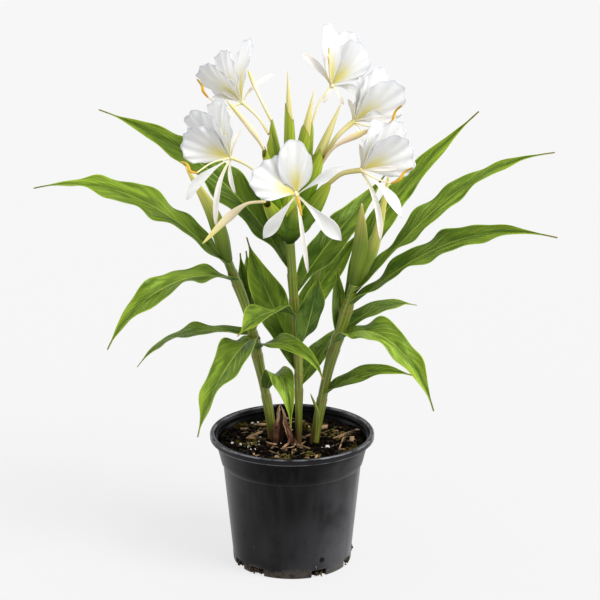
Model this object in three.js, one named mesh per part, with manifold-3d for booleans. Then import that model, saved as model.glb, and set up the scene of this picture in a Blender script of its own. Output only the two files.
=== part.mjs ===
// A white ginger lily in a black nursery pot: three canes with long arching leaves,
// a head of rolled bracts with six open blooms, and the unopened buds beside them.
// Millimetres, +Z up. The origin is the middle of the pot's underside, and the plant
// is seen from -Y, with +X to the right.

import * as THREE from 'three';
import { mergeVertices } from 'three/addons/utils/BufferGeometryUtils.js';
import Module from 'manifold-3d';

const wasm = await Module();
wasm.setup();

// Pot
const POT_HEIGHT = 140;
const POT_RIM_RADIUS = 85;
const POT_LIP_DROP = 7;
const POT_NECK_RADIUS = 79.5;
const POT_SHOULDER_HEIGHT = 108;
const POT_SHOULDER_RADIUS = 72.5;
const POT_BODY_TOP_RADIUS = 70.5;
const POT_FOOT_RADIUS = 61.5;
const POT_WALL = 2.2;
const POT_FLOOR = 3.5;
const POT_SEGMENTS = 40;
const SLOT_WIDTH = 17;
const SLOT_HEIGHT = 8;
const SLOT_DEPTH = 14;
const SLOT_BEARINGS = [-62, -36, 27, 68, 112, 152, 198, 236];

// Soil
const SOIL_LEVEL = 129;
const SOIL_EDGE_RADIUS = 74.6;
const SOIL_SEGMENTS = 26;
const SOIL_CLEARANCE = 0.4;

// Clearance that pieces which touch keep from each other. A faceted round body lies a
// little inside its true radius, so the room round one is a little wider.
const GAP = 0.35;
const ROUND_GAP = GAP + 0.1;

// Blades
const LEAF_THICKNESS = 1.0;
const PETAL_THICKNESS = 0.8;
const CANE_SIDES = 8;

// Colours
const COLOUR = {
  pot: 0x17181a,
  soil: 0x2e2620,
  husk: 0x8a6a45,
  cane: 0x6f8638,
  sheath: 0x7d8f3c,
  leaf: 0x4c7d22,
  bract: 0x7f9a34,
  petal: 0xf4f4f0,
  anther: 0xe0a63a,
  bud: 0xe4d79a,
};

const rad = THREE.MathUtils.degToRad;
const point = (x, y, z) => new THREE.Vector3(x, y, z);
const Z_AXIS = point(0, 0, 1);

// Small seeded generator, so that every lump falls in the same place
function seeded(seed) {
  let state = seed;
  return () => {
    state = (state * 1664525 + 1013904223) % 4294967296;
    return state / 4294967296;
  };
}

// Solids and geometry

function toSolid(geometry) {
  const bare = new THREE.BufferGeometry();
  bare.setAttribute('position', geometry.getAttribute('position').clone());
  if (geometry.index) bare.setIndex(geometry.index.clone());
  const merged = mergeVertices(bare, 1e-4);
  return new wasm.Manifold(new wasm.Mesh({
    numProp: 3,
    vertProperties: new Float32Array(merged.getAttribute('position').array),
    triVerts: new Uint32Array(merged.index.array),
  }));
}

function toGeometry(solid) {
  const mesh = solid.getMesh();
  const geometry = new THREE.BufferGeometry();
  const vertices = new Float32Array(mesh.vertProperties);
  const faces = new Uint32Array(mesh.triVerts);
  geometry.setAttribute('position', new THREE.BufferAttribute(vertices, 3));
  geometry.setIndex(new THREE.BufferAttribute(faces, 1));
  geometry.computeVertexNormals();
  return geometry;
}

// The biggest body of a solid, so that no loose scrap of a cut stays
function mainBody(solid) {
  const bodies = solid.decompose();
  return bodies.reduce((best, body) => (body.volume() > best.volume() ? body : best));
}

const joined = (solids) => solids.reduce((sum, solid) => sum.add(solid));

function meshed(vertices, faces) {
  const numbers = vertices.flatMap((v) => [v.x, v.y, v.z]);
  const geometry = new THREE.BufferGeometry();
  geometry.setAttribute('position', new THREE.Float32BufferAttribute(numbers, 3));
  geometry.setIndex(faces);
  return geometry;
}

// A closed skin over rings that all have the same number of points
function loft(rings) {
  const sides = rings[0].length;
  const vertices = rings.flat();
  const faces = [];
  for (let i = 0; i + 1 < rings.length; i += 1) {
    for (let j = 0; j < sides; j += 1) {
      const a = i * sides + j;
      const b = i * sides + ((j + 1) % sides);
      faces.push(a, b, b + sides, a, b + sides, a + sides);
    }
  }
  for (let j = 1; j + 1 < sides; j += 1) {
    const last = (rings.length - 1) * sides;
    faces.push(0, j + 1, j);
    faces.push(last, last + j, last + j + 1);
  }
  return meshed(vertices, faces);
}

// A round body along a curve. radiusAt gives its radius from 0 at the root to 1 at the tip.
function roundBody(curve, radiusAt, steps, sides) {
  const rings = [];
  for (let i = 0; i <= steps; i += 1) {
    const t = i / steps;
    const centre = curve.getPoint(t);
    const along = curve.getTangent(t).normalize();
    const across = point(1, 0.25, 0).cross(along).normalize();
    const out = along.clone().cross(across);
    const ring = [];
    for (let j = 0; j < sides; j += 1) {
      const angle = (2 * Math.PI * j) / sides;
      const r = radiusAt(t);
      ring.push(centre.clone()
        .addScaledVector(across, r * Math.cos(angle))
        .addScaledVector(out, r * Math.sin(angle)));
    }
    rings.push(ring);
  }
  return loft(rings);
}

// A thin closed blade over a spine. The side vector and the face normal come from
// frameAt, and the surface is split into triangles alike on both faces.
function blade({ spine, frameAt, halfWidthAt, liftAt, thickness, steps, strips }) {
  const upper = [];
  const lower = [];
  for (let i = 0; i <= steps; i += 1) {
    const t = i / steps;
    const centre = spine.getPoint(t);
    const along = spine.getTangent(t).normalize();
    const { side, normal } = frameAt(t, along);
    const half = halfWidthAt(t);
    for (let j = 0; j <= strips; j += 1) {
      const w = (2 * j) / strips - 1;
      const spot = centre.clone()
        .addScaledVector(side, w * half)
        .addScaledVector(normal, liftAt(t, w, half));
      upper.push(spot.clone().addScaledVector(normal, thickness / 2));
      lower.push(spot.clone().addScaledVector(normal, -thickness / 2));
    }
  }
  const row = strips + 1;
  const under = upper.length;
  const faces = [];
  const quad = (a, b, c, d) => faces.push(a, b, c, a, c, d);
  for (let i = 0; i < steps; i += 1) {
    for (let j = 0; j < strips; j += 1) {
      const a = i * row + j;
      quad(a, a + row, a + row + 1, a + 1);
      faces.push(under + a, under + a + row + 1, under + a + row);
      faces.push(under + a, under + a + 1, under + a + row + 1);
    }
    const left = i * row;
    const right = left + strips;
    quad(left, under + left, under + left + row, left + row);
    quad(right, right + row, under + right + row, under + right);
  }
  for (let j = 0; j < strips; j += 1) {
    const end = steps * row + j;
    quad(j, j + 1, under + j + 1, under + j);
    quad(end, under + end, under + end + 1, end + 1);
  }
  return meshed(upper.concat(lower), faces);
}

const plantInPot = new THREE.Group();
const container = new THREE.Group();
const plant = new THREE.Group();
plantInPot.add(container, plant);

function place(group, name, solid, colour, roughness) {
  const material = new THREE.MeshStandardMaterial({ color: colour, roughness, metalness: 0 });
  const mesh = new THREE.Mesh(toGeometry(solid), material);
  mesh.name = name;
  group.add(mesh);
}

// Pot: one moulded wall with a turned lip, a short neck, a step and a tapering body

function potWallRadius(z) {
  const share = (z - POT_FLOOR) / (POT_SHOULDER_HEIGHT - POT_FLOOR);
  return THREE.MathUtils.lerp(POT_FOOT_RADIUS, POT_BODY_TOP_RADIUS, Math.max(0, share)) - POT_WALL;
}

function potSolid() {
  const outside = [
    [0, 0],
    [POT_FOOT_RADIUS - 1, 0],
    [POT_FOOT_RADIUS, 1],
    [POT_BODY_TOP_RADIUS, POT_SHOULDER_HEIGHT - 3],
    [POT_SHOULDER_RADIUS, POT_SHOULDER_HEIGHT],
    [POT_SHOULDER_RADIUS + 1.2, POT_SHOULDER_HEIGHT + 5],
    [POT_NECK_RADIUS, POT_HEIGHT - POT_LIP_DROP],
    [POT_RIM_RADIUS, POT_HEIGHT - POT_LIP_DROP],
    [POT_RIM_RADIUS, POT_HEIGHT - 1.2],
    [POT_RIM_RADIUS - 1.2, POT_HEIGHT],
  ];
  const inside = [
    [POT_RIM_RADIUS - 4, POT_HEIGHT],
    [POT_NECK_RADIUS - POT_WALL, POT_HEIGHT - POT_LIP_DROP],
    [POT_SHOULDER_RADIUS - POT_WALL + 1, POT_SHOULDER_HEIGHT + 5],
    [potWallRadius(POT_SHOULDER_HEIGHT), POT_SHOULDER_HEIGHT],
    [potWallRadius(POT_FLOOR), POT_FLOOR],
    [0, POT_FLOOR],
  ];
  const profile = outside.concat(inside).map(([r, z]) => new THREE.Vector2(r, z));
  const body = new THREE.LatheGeometry(profile, POT_SEGMENTS);
  body.rotateX(Math.PI / 2);
  let pot = toSolid(body);
  for (const bearing of SLOT_BEARINGS) {
    const slot = new THREE.BoxGeometry(SLOT_WIDTH, SLOT_DEPTH, SLOT_HEIGHT * 2);
    slot.translate(0, -POT_FOOT_RADIUS, 0);
    slot.rotateZ(rad(bearing));
    pot = pot.subtract(toSolid(slot));
  }
  return pot;
}

// Canes: each runs from its hole in the soil up to where its leaves end

const CANES = {
  left: {
    route: [[-17, 4, 97], [-24, 6, 160], [-35, 9, 215], [-46, 11, 267], [-65, 14, 318]],
    rootRadius: 4.9,
    topRadius: 4.7,
  },
  centre: {
    route: [[6, -6, 97], [7, -6, 168], [6, -6, 225], [2, -5, 285], [-2, -4, 343]],
    rootRadius: 5.3,
    topRadius: 4.9,
  },
  right: {
    route: [[18, -4, 97], [28, -4, 160], [39, -4, 215], [53, -2, 262], [63, 0, 298]],
    rootRadius: 5.6,
    topRadius: 5.2,
  },
};
const CANE_STEPS = 13;
const SHEATH_SWELL = 0.35;

for (const cane of Object.values(CANES)) {
  cane.curve = new THREE.CatmullRomCurve3(cane.route.map((p) => point(...p)));
  cane.radiusAt = (t) => THREE.MathUtils.lerp(cane.rootRadius, cane.topRadius, t)
    + SHEATH_SWELL * Math.sin(t * CANE_STEPS * 1.3);
  cane.solid = toSolid(roundBody(cane.curve, cane.radiusAt, CANE_STEPS, CANE_SIDES));
  cane.room = toSolid(roundBody(cane.curve, (t) => cane.radiusAt(t) + ROUND_GAP, CANE_STEPS, CANE_SIDES));
}

// The point of a cane's middle line at a height above the floor
function onCane(cane, height) {
  let low = 0;
  let high = 1;
  for (let i = 0; i < 30; i += 1) {
    const middle = (low + high) / 2;
    if (cane.curve.getPoint(middle).z < height) low = middle;
    else high = middle;
  }
  return cane.curve.getPoint(low);
}

// Leaves. Each has its cane, its height on it and its tip, then the slopes of the midrib
// at the root and at the tip in degrees, its width and its roll about the midrib. swing
// turns the heading at the root sideways, arch makes the bow higher, and widest is the
// share of its length where the blade is widest.

const leaf = (name, cane, at, tip, lift, end, width, roll, more = {}) => (
  { name, cane, at, tip, lift, end, width, roll, ...more }
);

const LEAVES = [
  leaf('leaf_left_back', 'centre', 310, [-200, 95, 458], 50, 12, 37, -38, { swing: -18 }),
  leaf('leaf_left_long', 'left', 308, [-266, 60, 383], 46, -17, 32, -30),
  leaf('leaf_left_arching', 'left', 296, [-184, -60, 248], 32, -62, 33, -20),
  leaf('leaf_left_dark', 'left', 240, [-164, 68, 186], 4, -54, 22, -22),
  leaf('leaf_left_hanging', 'left', 235, [-94, -84, 164], 30, -70, 38, 10, { swing: 26 }),
  leaf('leaf_front_short', 'centre', 266, [-54, -72, 266], 32, -30, 35, 0),
  leaf('leaf_front_right', 'left', 221, [31, -60, 216], 56, -74, 21, 26, { swing: -34 }),
  leaf('leaf_upright_broad', 'centre', 204, [-46, 14, 344], 62, 74, 34, -72, { swing: -38, widest: 0.56 }),
  leaf('leaf_upright_narrow', 'left', 262, [-53, 32, 322], 72, 82, 13, 0),
  leaf('leaf_back_low', 'left', 244, [-48, 76, 312], 44, 40, 24, -8, { swing: -24 }),
  leaf('leaf_right_steep', 'right', 276, [193, 92, 457], 50, 32, 25, 42, { swing: 42 }),
  leaf('leaf_right_high', 'right', 282, [269, 56, 422], 50, 2, 25, 30, { swing: -26 }),
  leaf('leaf_right_long', 'right', 272, [262, -56, 363], 43, -11, 29, 40),
  leaf('leaf_right_small', 'right', 244, [130, 48, 261], 38, -18, 21, 18),
  leaf('leaf_right_arching', 'right', 232, [141, -88, 193], 54, -70, 35, 20, { arch: 1.25 }),
  leaf('leaf_right_low', 'right', 178, [124, -26, 209], 46, -14, 20, 32),
  leaf('leaf_back_right', 'centre', 286, [100, 88, 395], 52, 40, 31, 40),
  leaf('leaf_back_pale', 'centre', 250, [72, 64, 340], 56, 44, 27, 50, { swing: 14 }),
  leaf('leaf_middle_dark', 'centre', 226, [28, -34, 321], 68, 74, 26, -30, { swing: 24, widest: 0.52 }),
  leaf('leaf_right_upright', 'right', 246, [47, 26, 308], 70, 80, 16, 8),
  leaf('leaf_low_right', 'centre', 188, [50, 58, 236], 48, 22, 21, 25),
  leaf('leaf_low_folded', 'left', 178, [-1, -58, 163], 66, -88, 26, 10, { arch: 2 }),
];
const LEAF_ROOT_HALF = 3.6;
const LEAF_TAIL_HALF = 0.8;
const LEAF_TAIL_START = 0.91;
const LEAF_WIDEST = 0.42;
const LEAF_FOLD = 0.28;
const LEAF_HANDLE = 0.38;
const LEAF_STEP_LENGTH = 23;
const WAVE_LENGTH = 60;
const WAVE_HEIGHT = 0.2;

// Widest a little before the middle, and drawn out to a long thin tail
function leafHalfWidth(t, width, widest) {
  const share = Math.min(1, (t - widest) / (LEAF_TAIL_START - widest));
  const swell = t < widest
    ? Math.sin((Math.PI / 2) * (t / widest)) ** 0.9
    : (1 - share ** 2) ** 1.2;
  const edge = t < widest ? LEAF_ROOT_HALF : LEAF_TAIL_HALF;
  return edge + (width / 2 - edge) * swell;
}

function slopeVector(heading, slope) {
  const flat = Math.cos(rad(slope));
  return point(flat * Math.cos(heading), flat * Math.sin(heading), Math.sin(rad(slope)));
}

function leafSolid(spec, index) {
  const cane = CANES[spec.cane];
  const root = onCane(cane, spec.at);
  const tip = point(...spec.tip);
  const heading = Math.atan2(tip.y - root.y, tip.x - root.x);
  const reach = root.distanceTo(tip) * LEAF_HANDLE * (spec.arch ?? 1);
  const setOff = heading + rad(spec.swing ?? 0);
  const spine = new THREE.CubicBezierCurve3(
    root,
    root.clone().addScaledVector(slopeVector(setOff, spec.lift), reach),
    tip.clone().addScaledVector(slopeVector(heading, spec.end), -reach),
    tip,
  );
  const frameAt = (t, along) => {
    const bearing = heading + rad(spec.swing ?? 0) * Math.max(0, 1 - 2 * t);
    const flat = point(-Math.sin(bearing), Math.cos(bearing), 0);
    const level = flat.addScaledVector(along, -flat.dot(along)).normalize();
    const up = along.clone().cross(level).normalize();
    const roll = rad(spec.roll) * Math.min(1, t * 2.5);
    const side = level.clone().multiplyScalar(Math.cos(roll)).addScaledVector(up, Math.sin(roll));
    const normal = up.clone().multiplyScalar(Math.cos(roll)).addScaledVector(level, -Math.sin(roll));
    return { side, normal };
  };
  const waves = spine.getLength() / WAVE_LENGTH;
  const liftAt = (t, w, half) => {
    const edge = Math.abs(w);
    const ripple = Math.sin(2 * Math.PI * waves * t + index + (w > 0 ? 1.7 : 0));
    return half * (LEAF_FOLD * edge + WAVE_HEIGHT * ripple * edge * edge);
  };
  const geometry = blade({
    spine,
    frameAt,
    halfWidthAt: (t) => leafHalfWidth(t, spec.width, spec.widest ?? LEAF_WIDEST),
    liftAt,
    thickness: LEAF_THICKNESS,
    steps: Math.max(7, Math.round(spine.getLength() / LEAF_STEP_LENGTH)),
    strips: 4,
  });
  return mainBody(toSolid(geometry).subtract(cane.room));
}

// Rolled leaves at the tops of the side canes

const ROLLED = [
  {
    name: 'rolled_leaf_left',
    route: [[-65, 14, 319], [-79, 15, 366], [-107, 16, 417]],
    radius: 7.4,
    fat: 0.3,
  },
  {
    name: 'rolled_leaf_right',
    route: [[63.2, 0, 299], [69, -6, 341], [70, -10, 386]],
    radius: 8.6,
    fat: 0.42,
  },
  {
    name: 'rolled_leaf_back',
    route: [[72, 9, 305], [84, 14, 337], [99, 26, 409]],
    radius: 6,
    fat: 0.45,
  },
];
const ROLLED_ROOT = 4.6;
const ROLLED_TIP = 0.8;

// A round body that swells to its radius at the share fat of its length
function spindle(route, radius, fat, rootRadius, tipRadius, steps, sides) {
  const curve = new THREE.CatmullRomCurve3(route.map((p) => point(...p)));
  const radiusAt = (t) => {
    const end = t < fat ? rootRadius : tipRadius;
    const share = t < fat ? t / fat : (1 - t) / (1 - fat);
    return end + (radius - end) * Math.sin((Math.PI / 2) * share) ** 1.1;
  };
  return toSolid(roundBody(curve, radiusAt, steps, sides));
}

// Flower head: a fat core with rolled bracts, most of which let out a bloom or a bud

const HEAD_FOOT = [-2, -4, 343.6];
const BRACTS = [
  { route: [HEAD_FOOT, [0, -4, 372], [-1, -3, 400]], radius: 16, fat: 0.45, tipRadius: 5 },
  { route: [[-2, -6, 350], [-11, -10, 368], [-16, -14, 388]], radius: 10, fat: 0.45, tipRadius: 1.5 },
  { route: [[0, -6, 350], [10, -8, 369], [20, -12, 394]], radius: 11, fat: 0.45, tipRadius: 1.5 },
  { route: [[-1, -3, 362], [-2, -3, 440], [-4, -2, 519]], radius: 5.7, fat: 0.45, tipRadius: 0.8 },
  { route: [[4, 0, 366], [10, 6, 430], [22, 14, 496]], radius: 6.2, fat: 0.5, tipRadius: 0.8 },
  { route: [[6, 0, 366], [20, 2, 412], [50, 10, 486]], radius: 6.8, fat: 0.5, tipRadius: 0.8 },
  { route: [[6, -6, 366], [17, -8, 402], [31, -3, 440]], radius: 7.6, fat: 0.5, tipRadius: 2.6 },
  { route: [[4, -8, 353], [20, -14, 380], [38, -20, 411]], radius: 8.8, fat: 0.45, tipRadius: 2.4 },
  { route: [[-5, 4, 372], [-14, 14, 420], [-21, 22, 465]], radius: 5.0, fat: 0.55, tipRadius: 1.4 },
  { route: [[-6, -1, 372], [-16, 5, 415], [-24, 10, 455]], radius: 4.8, fat: 0.55, tipRadius: 1.8 },
  { route: [[-7, -6, 372], [-19, -7, 412], [-29, -6, 443]], radius: 4.6, fat: 0.55, tipRadius: 1.8 },
  { route: [[-3, -7, 352], [-15, -15, 371], [-28, -24, 395]], radius: 8.2, fat: 0.42, tipRadius: 2.2 },
  { route: [[-6, -6, 366], [-20, -13, 394], [-30, -18, 416]], radius: 5.0, fat: 0.5, tipRadius: 1.9 },
  { route: [[0, -10, 358], [3, -22, 374], [7, -30, 389]], radius: 7.0, fat: 0.35, tipRadius: 2.2 },
  { route: [[7, 4, 376], [15, 14, 420], [20, 22, 462]], radius: 4.6, fat: 0.5, tipRadius: 1.6 },
  { route: [[2, 8, 362], [6, 26, 390], [8, 36, 418]], radius: 6.0, fat: 0.45, tipRadius: 1.2 },
  { route: [[-6, 6, 360], [-18, 22, 384], [-26, 32, 408]], radius: 5.6, fat: 0.45, tipRadius: 1.2 },
];
const BRACT_ROOT_RADIUS = 3.5;
const HEAD_FOOT_RADIUS = 4.9;

function headSolid(spare = 0) {
  const parts = BRACTS.map((bract, index) => spindle(
    bract.route,
    bract.radius + spare,
    bract.fat,
    (index === 0 ? HEAD_FOOT_RADIUS : BRACT_ROOT_RADIUS) + spare,
    bract.tipRadius + spare,
    index === 0 ? 5 : 4,
    index === 0 ? 10 : 6,
  ));
  return joined(parts);
}

const head = headSolid();
const headRoom = headSolid(ROUND_GAP + 0.05);

const THROAT_RADIUS = 2.6;

// Petals. Each reaches from the throat of its bloom to a tip, and opens outwards from
// the way that the bloom faces.

const PETAL_SHAPES = {
  lobe: (t) => 0.1 + 0.9 * Math.sin(Math.PI * Math.min(1, t * 0.96) ** 1.7) ** 0.75,
  broad: (t) => 0.14 + 0.86 * Math.sin(Math.PI * Math.min(1, t * 0.97) ** 1.5) ** 1.1,
  strap: (t) => 0.35 + 0.65 * Math.sin(Math.PI * Math.min(1, t * 0.97) ** 1.6) ** 0.9,
};
const PETAL_SPLITS = {
  lobe: { steps: 6, strips: 3 },
  broad: { steps: 5, strips: 2 },
  strap: { steps: 4, strips: 1 },
};
const LOBE_RIPPLE = 0.12;
const PETAL_CUP = 0.22;
const STRAP_TURN = point(0, -1.2, 0.3);

function petalSolid(throat, facing, petal, index) {
  const [shape, reach, width] = petal;
  const offset = point(...reach);
  const length = offset.length();
  const tip = throat.clone().add(offset);
  const away = offset.clone().normalize();
  const start = away.clone().addScaledVector(facing, 0.55).normalize();
  const finish = away.clone().addScaledVector(facing, -0.35).normalize();
  const spine = new THREE.CubicBezierCurve3(
    throat.clone().addScaledVector(away, THROAT_RADIUS * 0.5),
    throat.clone().addScaledVector(start, length * 0.36),
    tip.clone().addScaledVector(finish, -length * 0.34),
    tip,
  );
  const isLobe = shape === 'lobe';
  const isStrap = shape === 'strap';
  const inner = isStrap ? facing.clone().add(STRAP_TURN).normalize() : facing;
  const frameAt = (t, along) => {
    const normal = inner.clone().addScaledVector(along, -inner.dot(along)).normalize();
    const side = normal.clone().cross(along);
    return { side, normal };
  };
  const liftAt = (t, w, half) => {
    const ripple = isLobe ? LOBE_RIPPLE * Math.sin(7 * w + 9 * t + index * 2) * t * t : 0;
    return half * (PETAL_CUP * w * w + ripple);
  };
  return toSolid(blade({
    spine,
    frameAt,
    halfWidthAt: (t) => (width / 2) * PETAL_SHAPES[shape](t),
    liftAt,
    thickness: PETAL_THICKNESS,
    ...PETAL_SPLITS[shape],
  }));
}

// Blooms. tube runs from the bract's mouth to the throat, filament from the throat to
// the anther, and every reach is counted from the throat.

const BLOOMS = [
  {
    name: 'top_left',
    throat: [-50, 34, 479],
    mouth: [-23, 9.5, 452],
    bend: [-34, 24, 466],
    facing: [-0.75, -0.45, 0.5],
    tubeRadius: 1.4,
    petals: [
      ['lobe', [9, 12, 62], 30],
      ['lobe', [-15, -2, 57], 36],
      ['lobe', [-36, -10, 44], 40],
      ['broad', [-30, -14, 8], 12],
      ['strap', [34, 10, 28], 5],
      ['strap', [-20, -12, 15], 5],
      ['strap', [-13, -8, -17], 4.5],
    ],
    filament: [[-18, -8, -4], [-34, -16, 9]],
    anther: [-44, -20, 28],
  },
  {
    name: 'left',
    throat: [-60, -16, 434],
    mouth: [-28, -17, 413],
    bend: [-44, -18, 427],
    facing: [-0.7, -0.6, 0.35],
    tubeRadius: 1.4,
    petals: [
      ['lobe', [-10, 0, 61], 36],
      ['lobe', [-35, -8, 50], 46],
      ['lobe', [-47, -14, 28], 40],
      ['broad', [-44, -20, -38], 16],
      ['strap', [10, 4, 27], 5.5],
      ['strap', [-15, -24, -64], 6.5],
      ['strap', [4, -14, -33], 5],
    ],
    filament: [[-18, -10, -2], [-34, -22, -10]],
    anther: [-49, -28, 3],
  },
  {
    name: 'front',
    throat: [5, -56, 407],
    mouth: [6, -27, 385],
    bend: [7, -46, 397],
    facing: [0, -0.94, 0.34],
    tubeRadius: 1.8,
    petals: [
      ['lobe', [-3, 0, 55], 37],
      ['lobe', [-40, -2, 25], 48],
      ['broad', [-33, -10, -42], 15],
      ['broad', [44, -10, -44], 17],
      ['broad', [45, -2, 30], 10],
      ['strap', [11, -16, -76], 5],
    ],
    filament: [[-1, -12, 6], [0, -20, 4]],
    anther: [5, -27, -14],
  },
  {
    name: 'top_right',
    throat: [40, 34, 496],
    mouth: [19.5, 21, 459],
    bend: [28, 28, 481],
    facing: [0.3, -0.62, 0.72],
    tubeRadius: 1.2,
    petals: [
      ['lobe', [-6, -5, 65], 22],
      ['lobe', [17, 12, 54], 32],
      ['lobe', [35, 4, 38], 38],
      ['broad', [27, 0, -6], 11],
      ['strap', [-31, -4, 34], 8],
      ['strap', [-8, -6, -16], 4.5],
      ['strap', [12, -6, -18], 4.5],
    ],
    filament: [[-2, -8, 12], [-3, -15, 26]],
    anther: [-3, -15, 42],
  },
  {
    name: 'right',
    throat: [61, 16, 463],
    mouth: [32, -2, 430],
    bend: [45, -2, 452],
    facing: [0.75, -0.5, 0.4],
    tubeRadius: 2.4,
    petals: [
      ['lobe', [9, 0, 46], 28],
      ['lobe', [28, 4, 55], 42],
      ['lobe', [48, 2, 36], 46],
      ['broad', [31, -6, 9], 14],
      ['strap', [-5, 2, 23], 5.5],
      ['strap', [33, -10, 6], 5],
      ['strap', [10, -10, -18], 4.5],
    ],
    filament: [[16, -10, -2], [33, -18, 0]],
    anther: [48, -22, 22],
  },
  {
    name: 'right_low',
    throat: [68, -18, 422],
    mouth: [35, -19, 407],
    bend: [50, -20, 419],
    facing: [0.75, -0.6, 0.25],
    tubeRadius: 2.4,
    petals: [
      ['lobe', [16, 6, 52], 28],
      ['lobe', [39, 4, 48], 42],
      ['lobe', [51, -2, 27], 46],
      ['broad', [41, -16, -45], 16],
      ['strap', [-1, 2, 26], 5.5],
      ['strap', [38, -8, 4], 5],
      ['strap', [20, -16, -68], 7],
    ],
    filament: [[14, -12, -5], [30, -22, -8]],
    anther: [51, -26, 9],
  },
];
const FILAMENT_RADIUS = 0.8;
const ANTHER_RADIUS = 1.5;

function tubeBetween(points, radius, steps, sides) {
  const curve = new THREE.CatmullRomCurve3(points);
  return toSolid(roundBody(curve, () => radius, steps, sides));
}

function bloomSolid(bloom) {
  const throat = point(...bloom.throat);
  const facing = point(...bloom.facing).normalize();
  const ball = new THREE.IcosahedronGeometry(THROAT_RADIUS, 1);
  ball.translate(throat.x, throat.y, throat.z);
  const route = [point(...bloom.mouth), point(...bloom.bend), throat];
  const filament = bloom.filament.map((reach) => throat.clone().add(point(...reach)));
  const parts = [
    toSolid(ball),
    tubeBetween(route, bloom.tubeRadius, 4, 6),
    tubeBetween([throat, ...filament], FILAMENT_RADIUS, 4, 5),
    ...bloom.petals.map((petal, index) => petalSolid(throat, facing, petal, index)),
  ];
  return mainBody(joined(parts).subtract(headRoom));
}

function antherSolid(bloom) {
  const throat = point(...bloom.throat);
  const end = throat.clone().add(point(...bloom.filament[1]));
  const tip = throat.clone().add(point(...bloom.anther));
  const before = throat.clone().add(point(...bloom.filament[0]));
  const swing = end.clone().sub(before).normalize();
  const start = end.clone().addScaledVector(swing, GAP + 0.35);
  const middle = start.clone().lerp(tip, 0.5).addScaledVector(swing, 1.5);
  const curve = new THREE.CatmullRomCurve3([start, middle, tip]);
  const radiusAt = (t) => ANTHER_RADIUS * (0.55 + 0.45 * Math.sin(Math.PI * t ** 0.8));
  return toSolid(roundBody(curve, radiusAt, 4, 5));
}

// Unopened buds, each on its thin tube out of a bract

const BUDS = [
  {
    name: 'bud_top_left',
    route: [[-20, 21, 462], [-35, 30, 491], [-44, 36, 512]],
    radius: 2.2,
    fat: 0.72,
  },
  {
    name: 'bud_left_upper',
    route: [[-27.5, -6, 440], [-39, -10, 460], [-64, -16, 492]],
    radius: 3.2,
    fat: 0.5,
  },
  {
    name: 'bud_left_lower',
    route: [[-26, -22, 391], [-45, -32, 391], [-63, -41, 379], [-88, -53, 356]],
    radius: 4.2,
    fat: 0.64,
  },
  {
    name: 'bud_right',
    route: [[29, -4, 424], [44, -11, 445], [78, -16, 463]],
    radius: 3.5,
    fat: 0.78,
  },
];
const BUD_TUBE_SHARE = 0.3;
const BUD_TUBE_RADIUS = 1.5;
const BUD_TIP_RADIUS = 0.7;

// An even tube for the first share of its length, then fuller up to the share fat
function budSolid({ route, radius, fat }) {
  const curve = new THREE.CatmullRomCurve3(route.map((p) => point(...p)));
  const radiusAt = (t) => {
    const swell = t < fat
      ? THREE.MathUtils.smoothstep(t, BUD_TUBE_SHARE, fat)
      : (1 - ((t - fat) / (1 - fat)) ** 1.5) ** 0.9;
    const end = t < fat ? BUD_TUBE_RADIUS : BUD_TIP_RADIUS;
    return end + (radius - end) * swell;
  };
  return toSolid(roundBody(curve, radiusAt, 9, 6));
}

// Things that stand in the soil by the canes' feet: a dried sheath in three shreds that
// lean on each other, and a short green shoot

const shred = (route, radius, fat, root, tip) => ({ route, radius, fat, root, tip });
const HUSK = [
  shred([[-7, -8, 108], [-9, -10, 138], [-13, -10, 168]], 4.6, 0.28, 3, 1),
  shred([[-3, -11, 112], [-5, -12, 132], [-10, -12, 157]], 3.4, 0.25, 2.4, 0.8),
  shred([[-12, -9, 112], [-12, -9, 130], [-14, -8, 150]], 3.2, 0.25, 2.4, 0.8),
];
const SHOOT = [
  shred([[14, -13, 108], [18, -13, 140], [21, -13, 164], [18, -14, 186]], 2.1, 0.4, 1.8, 0.7),
];
const STANDING_STEPS = 5;
const STANDING_SIDES = 5;

// Soil: a filling that is lumpy on top, with bark and grit sunk in it and a hole for
// each thing that stands in it

const CHIPS = 11;
const CHIP_SEED = 20;

function soilSurface(x, y) {
  const lumps = 1.3 * Math.sin(x * 0.19 + 1) * Math.cos(y * 0.23)
    + 0.8 * Math.sin(x * 0.41 - y * 0.37);
  return SOIL_LEVEL + lumps;
}

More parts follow.
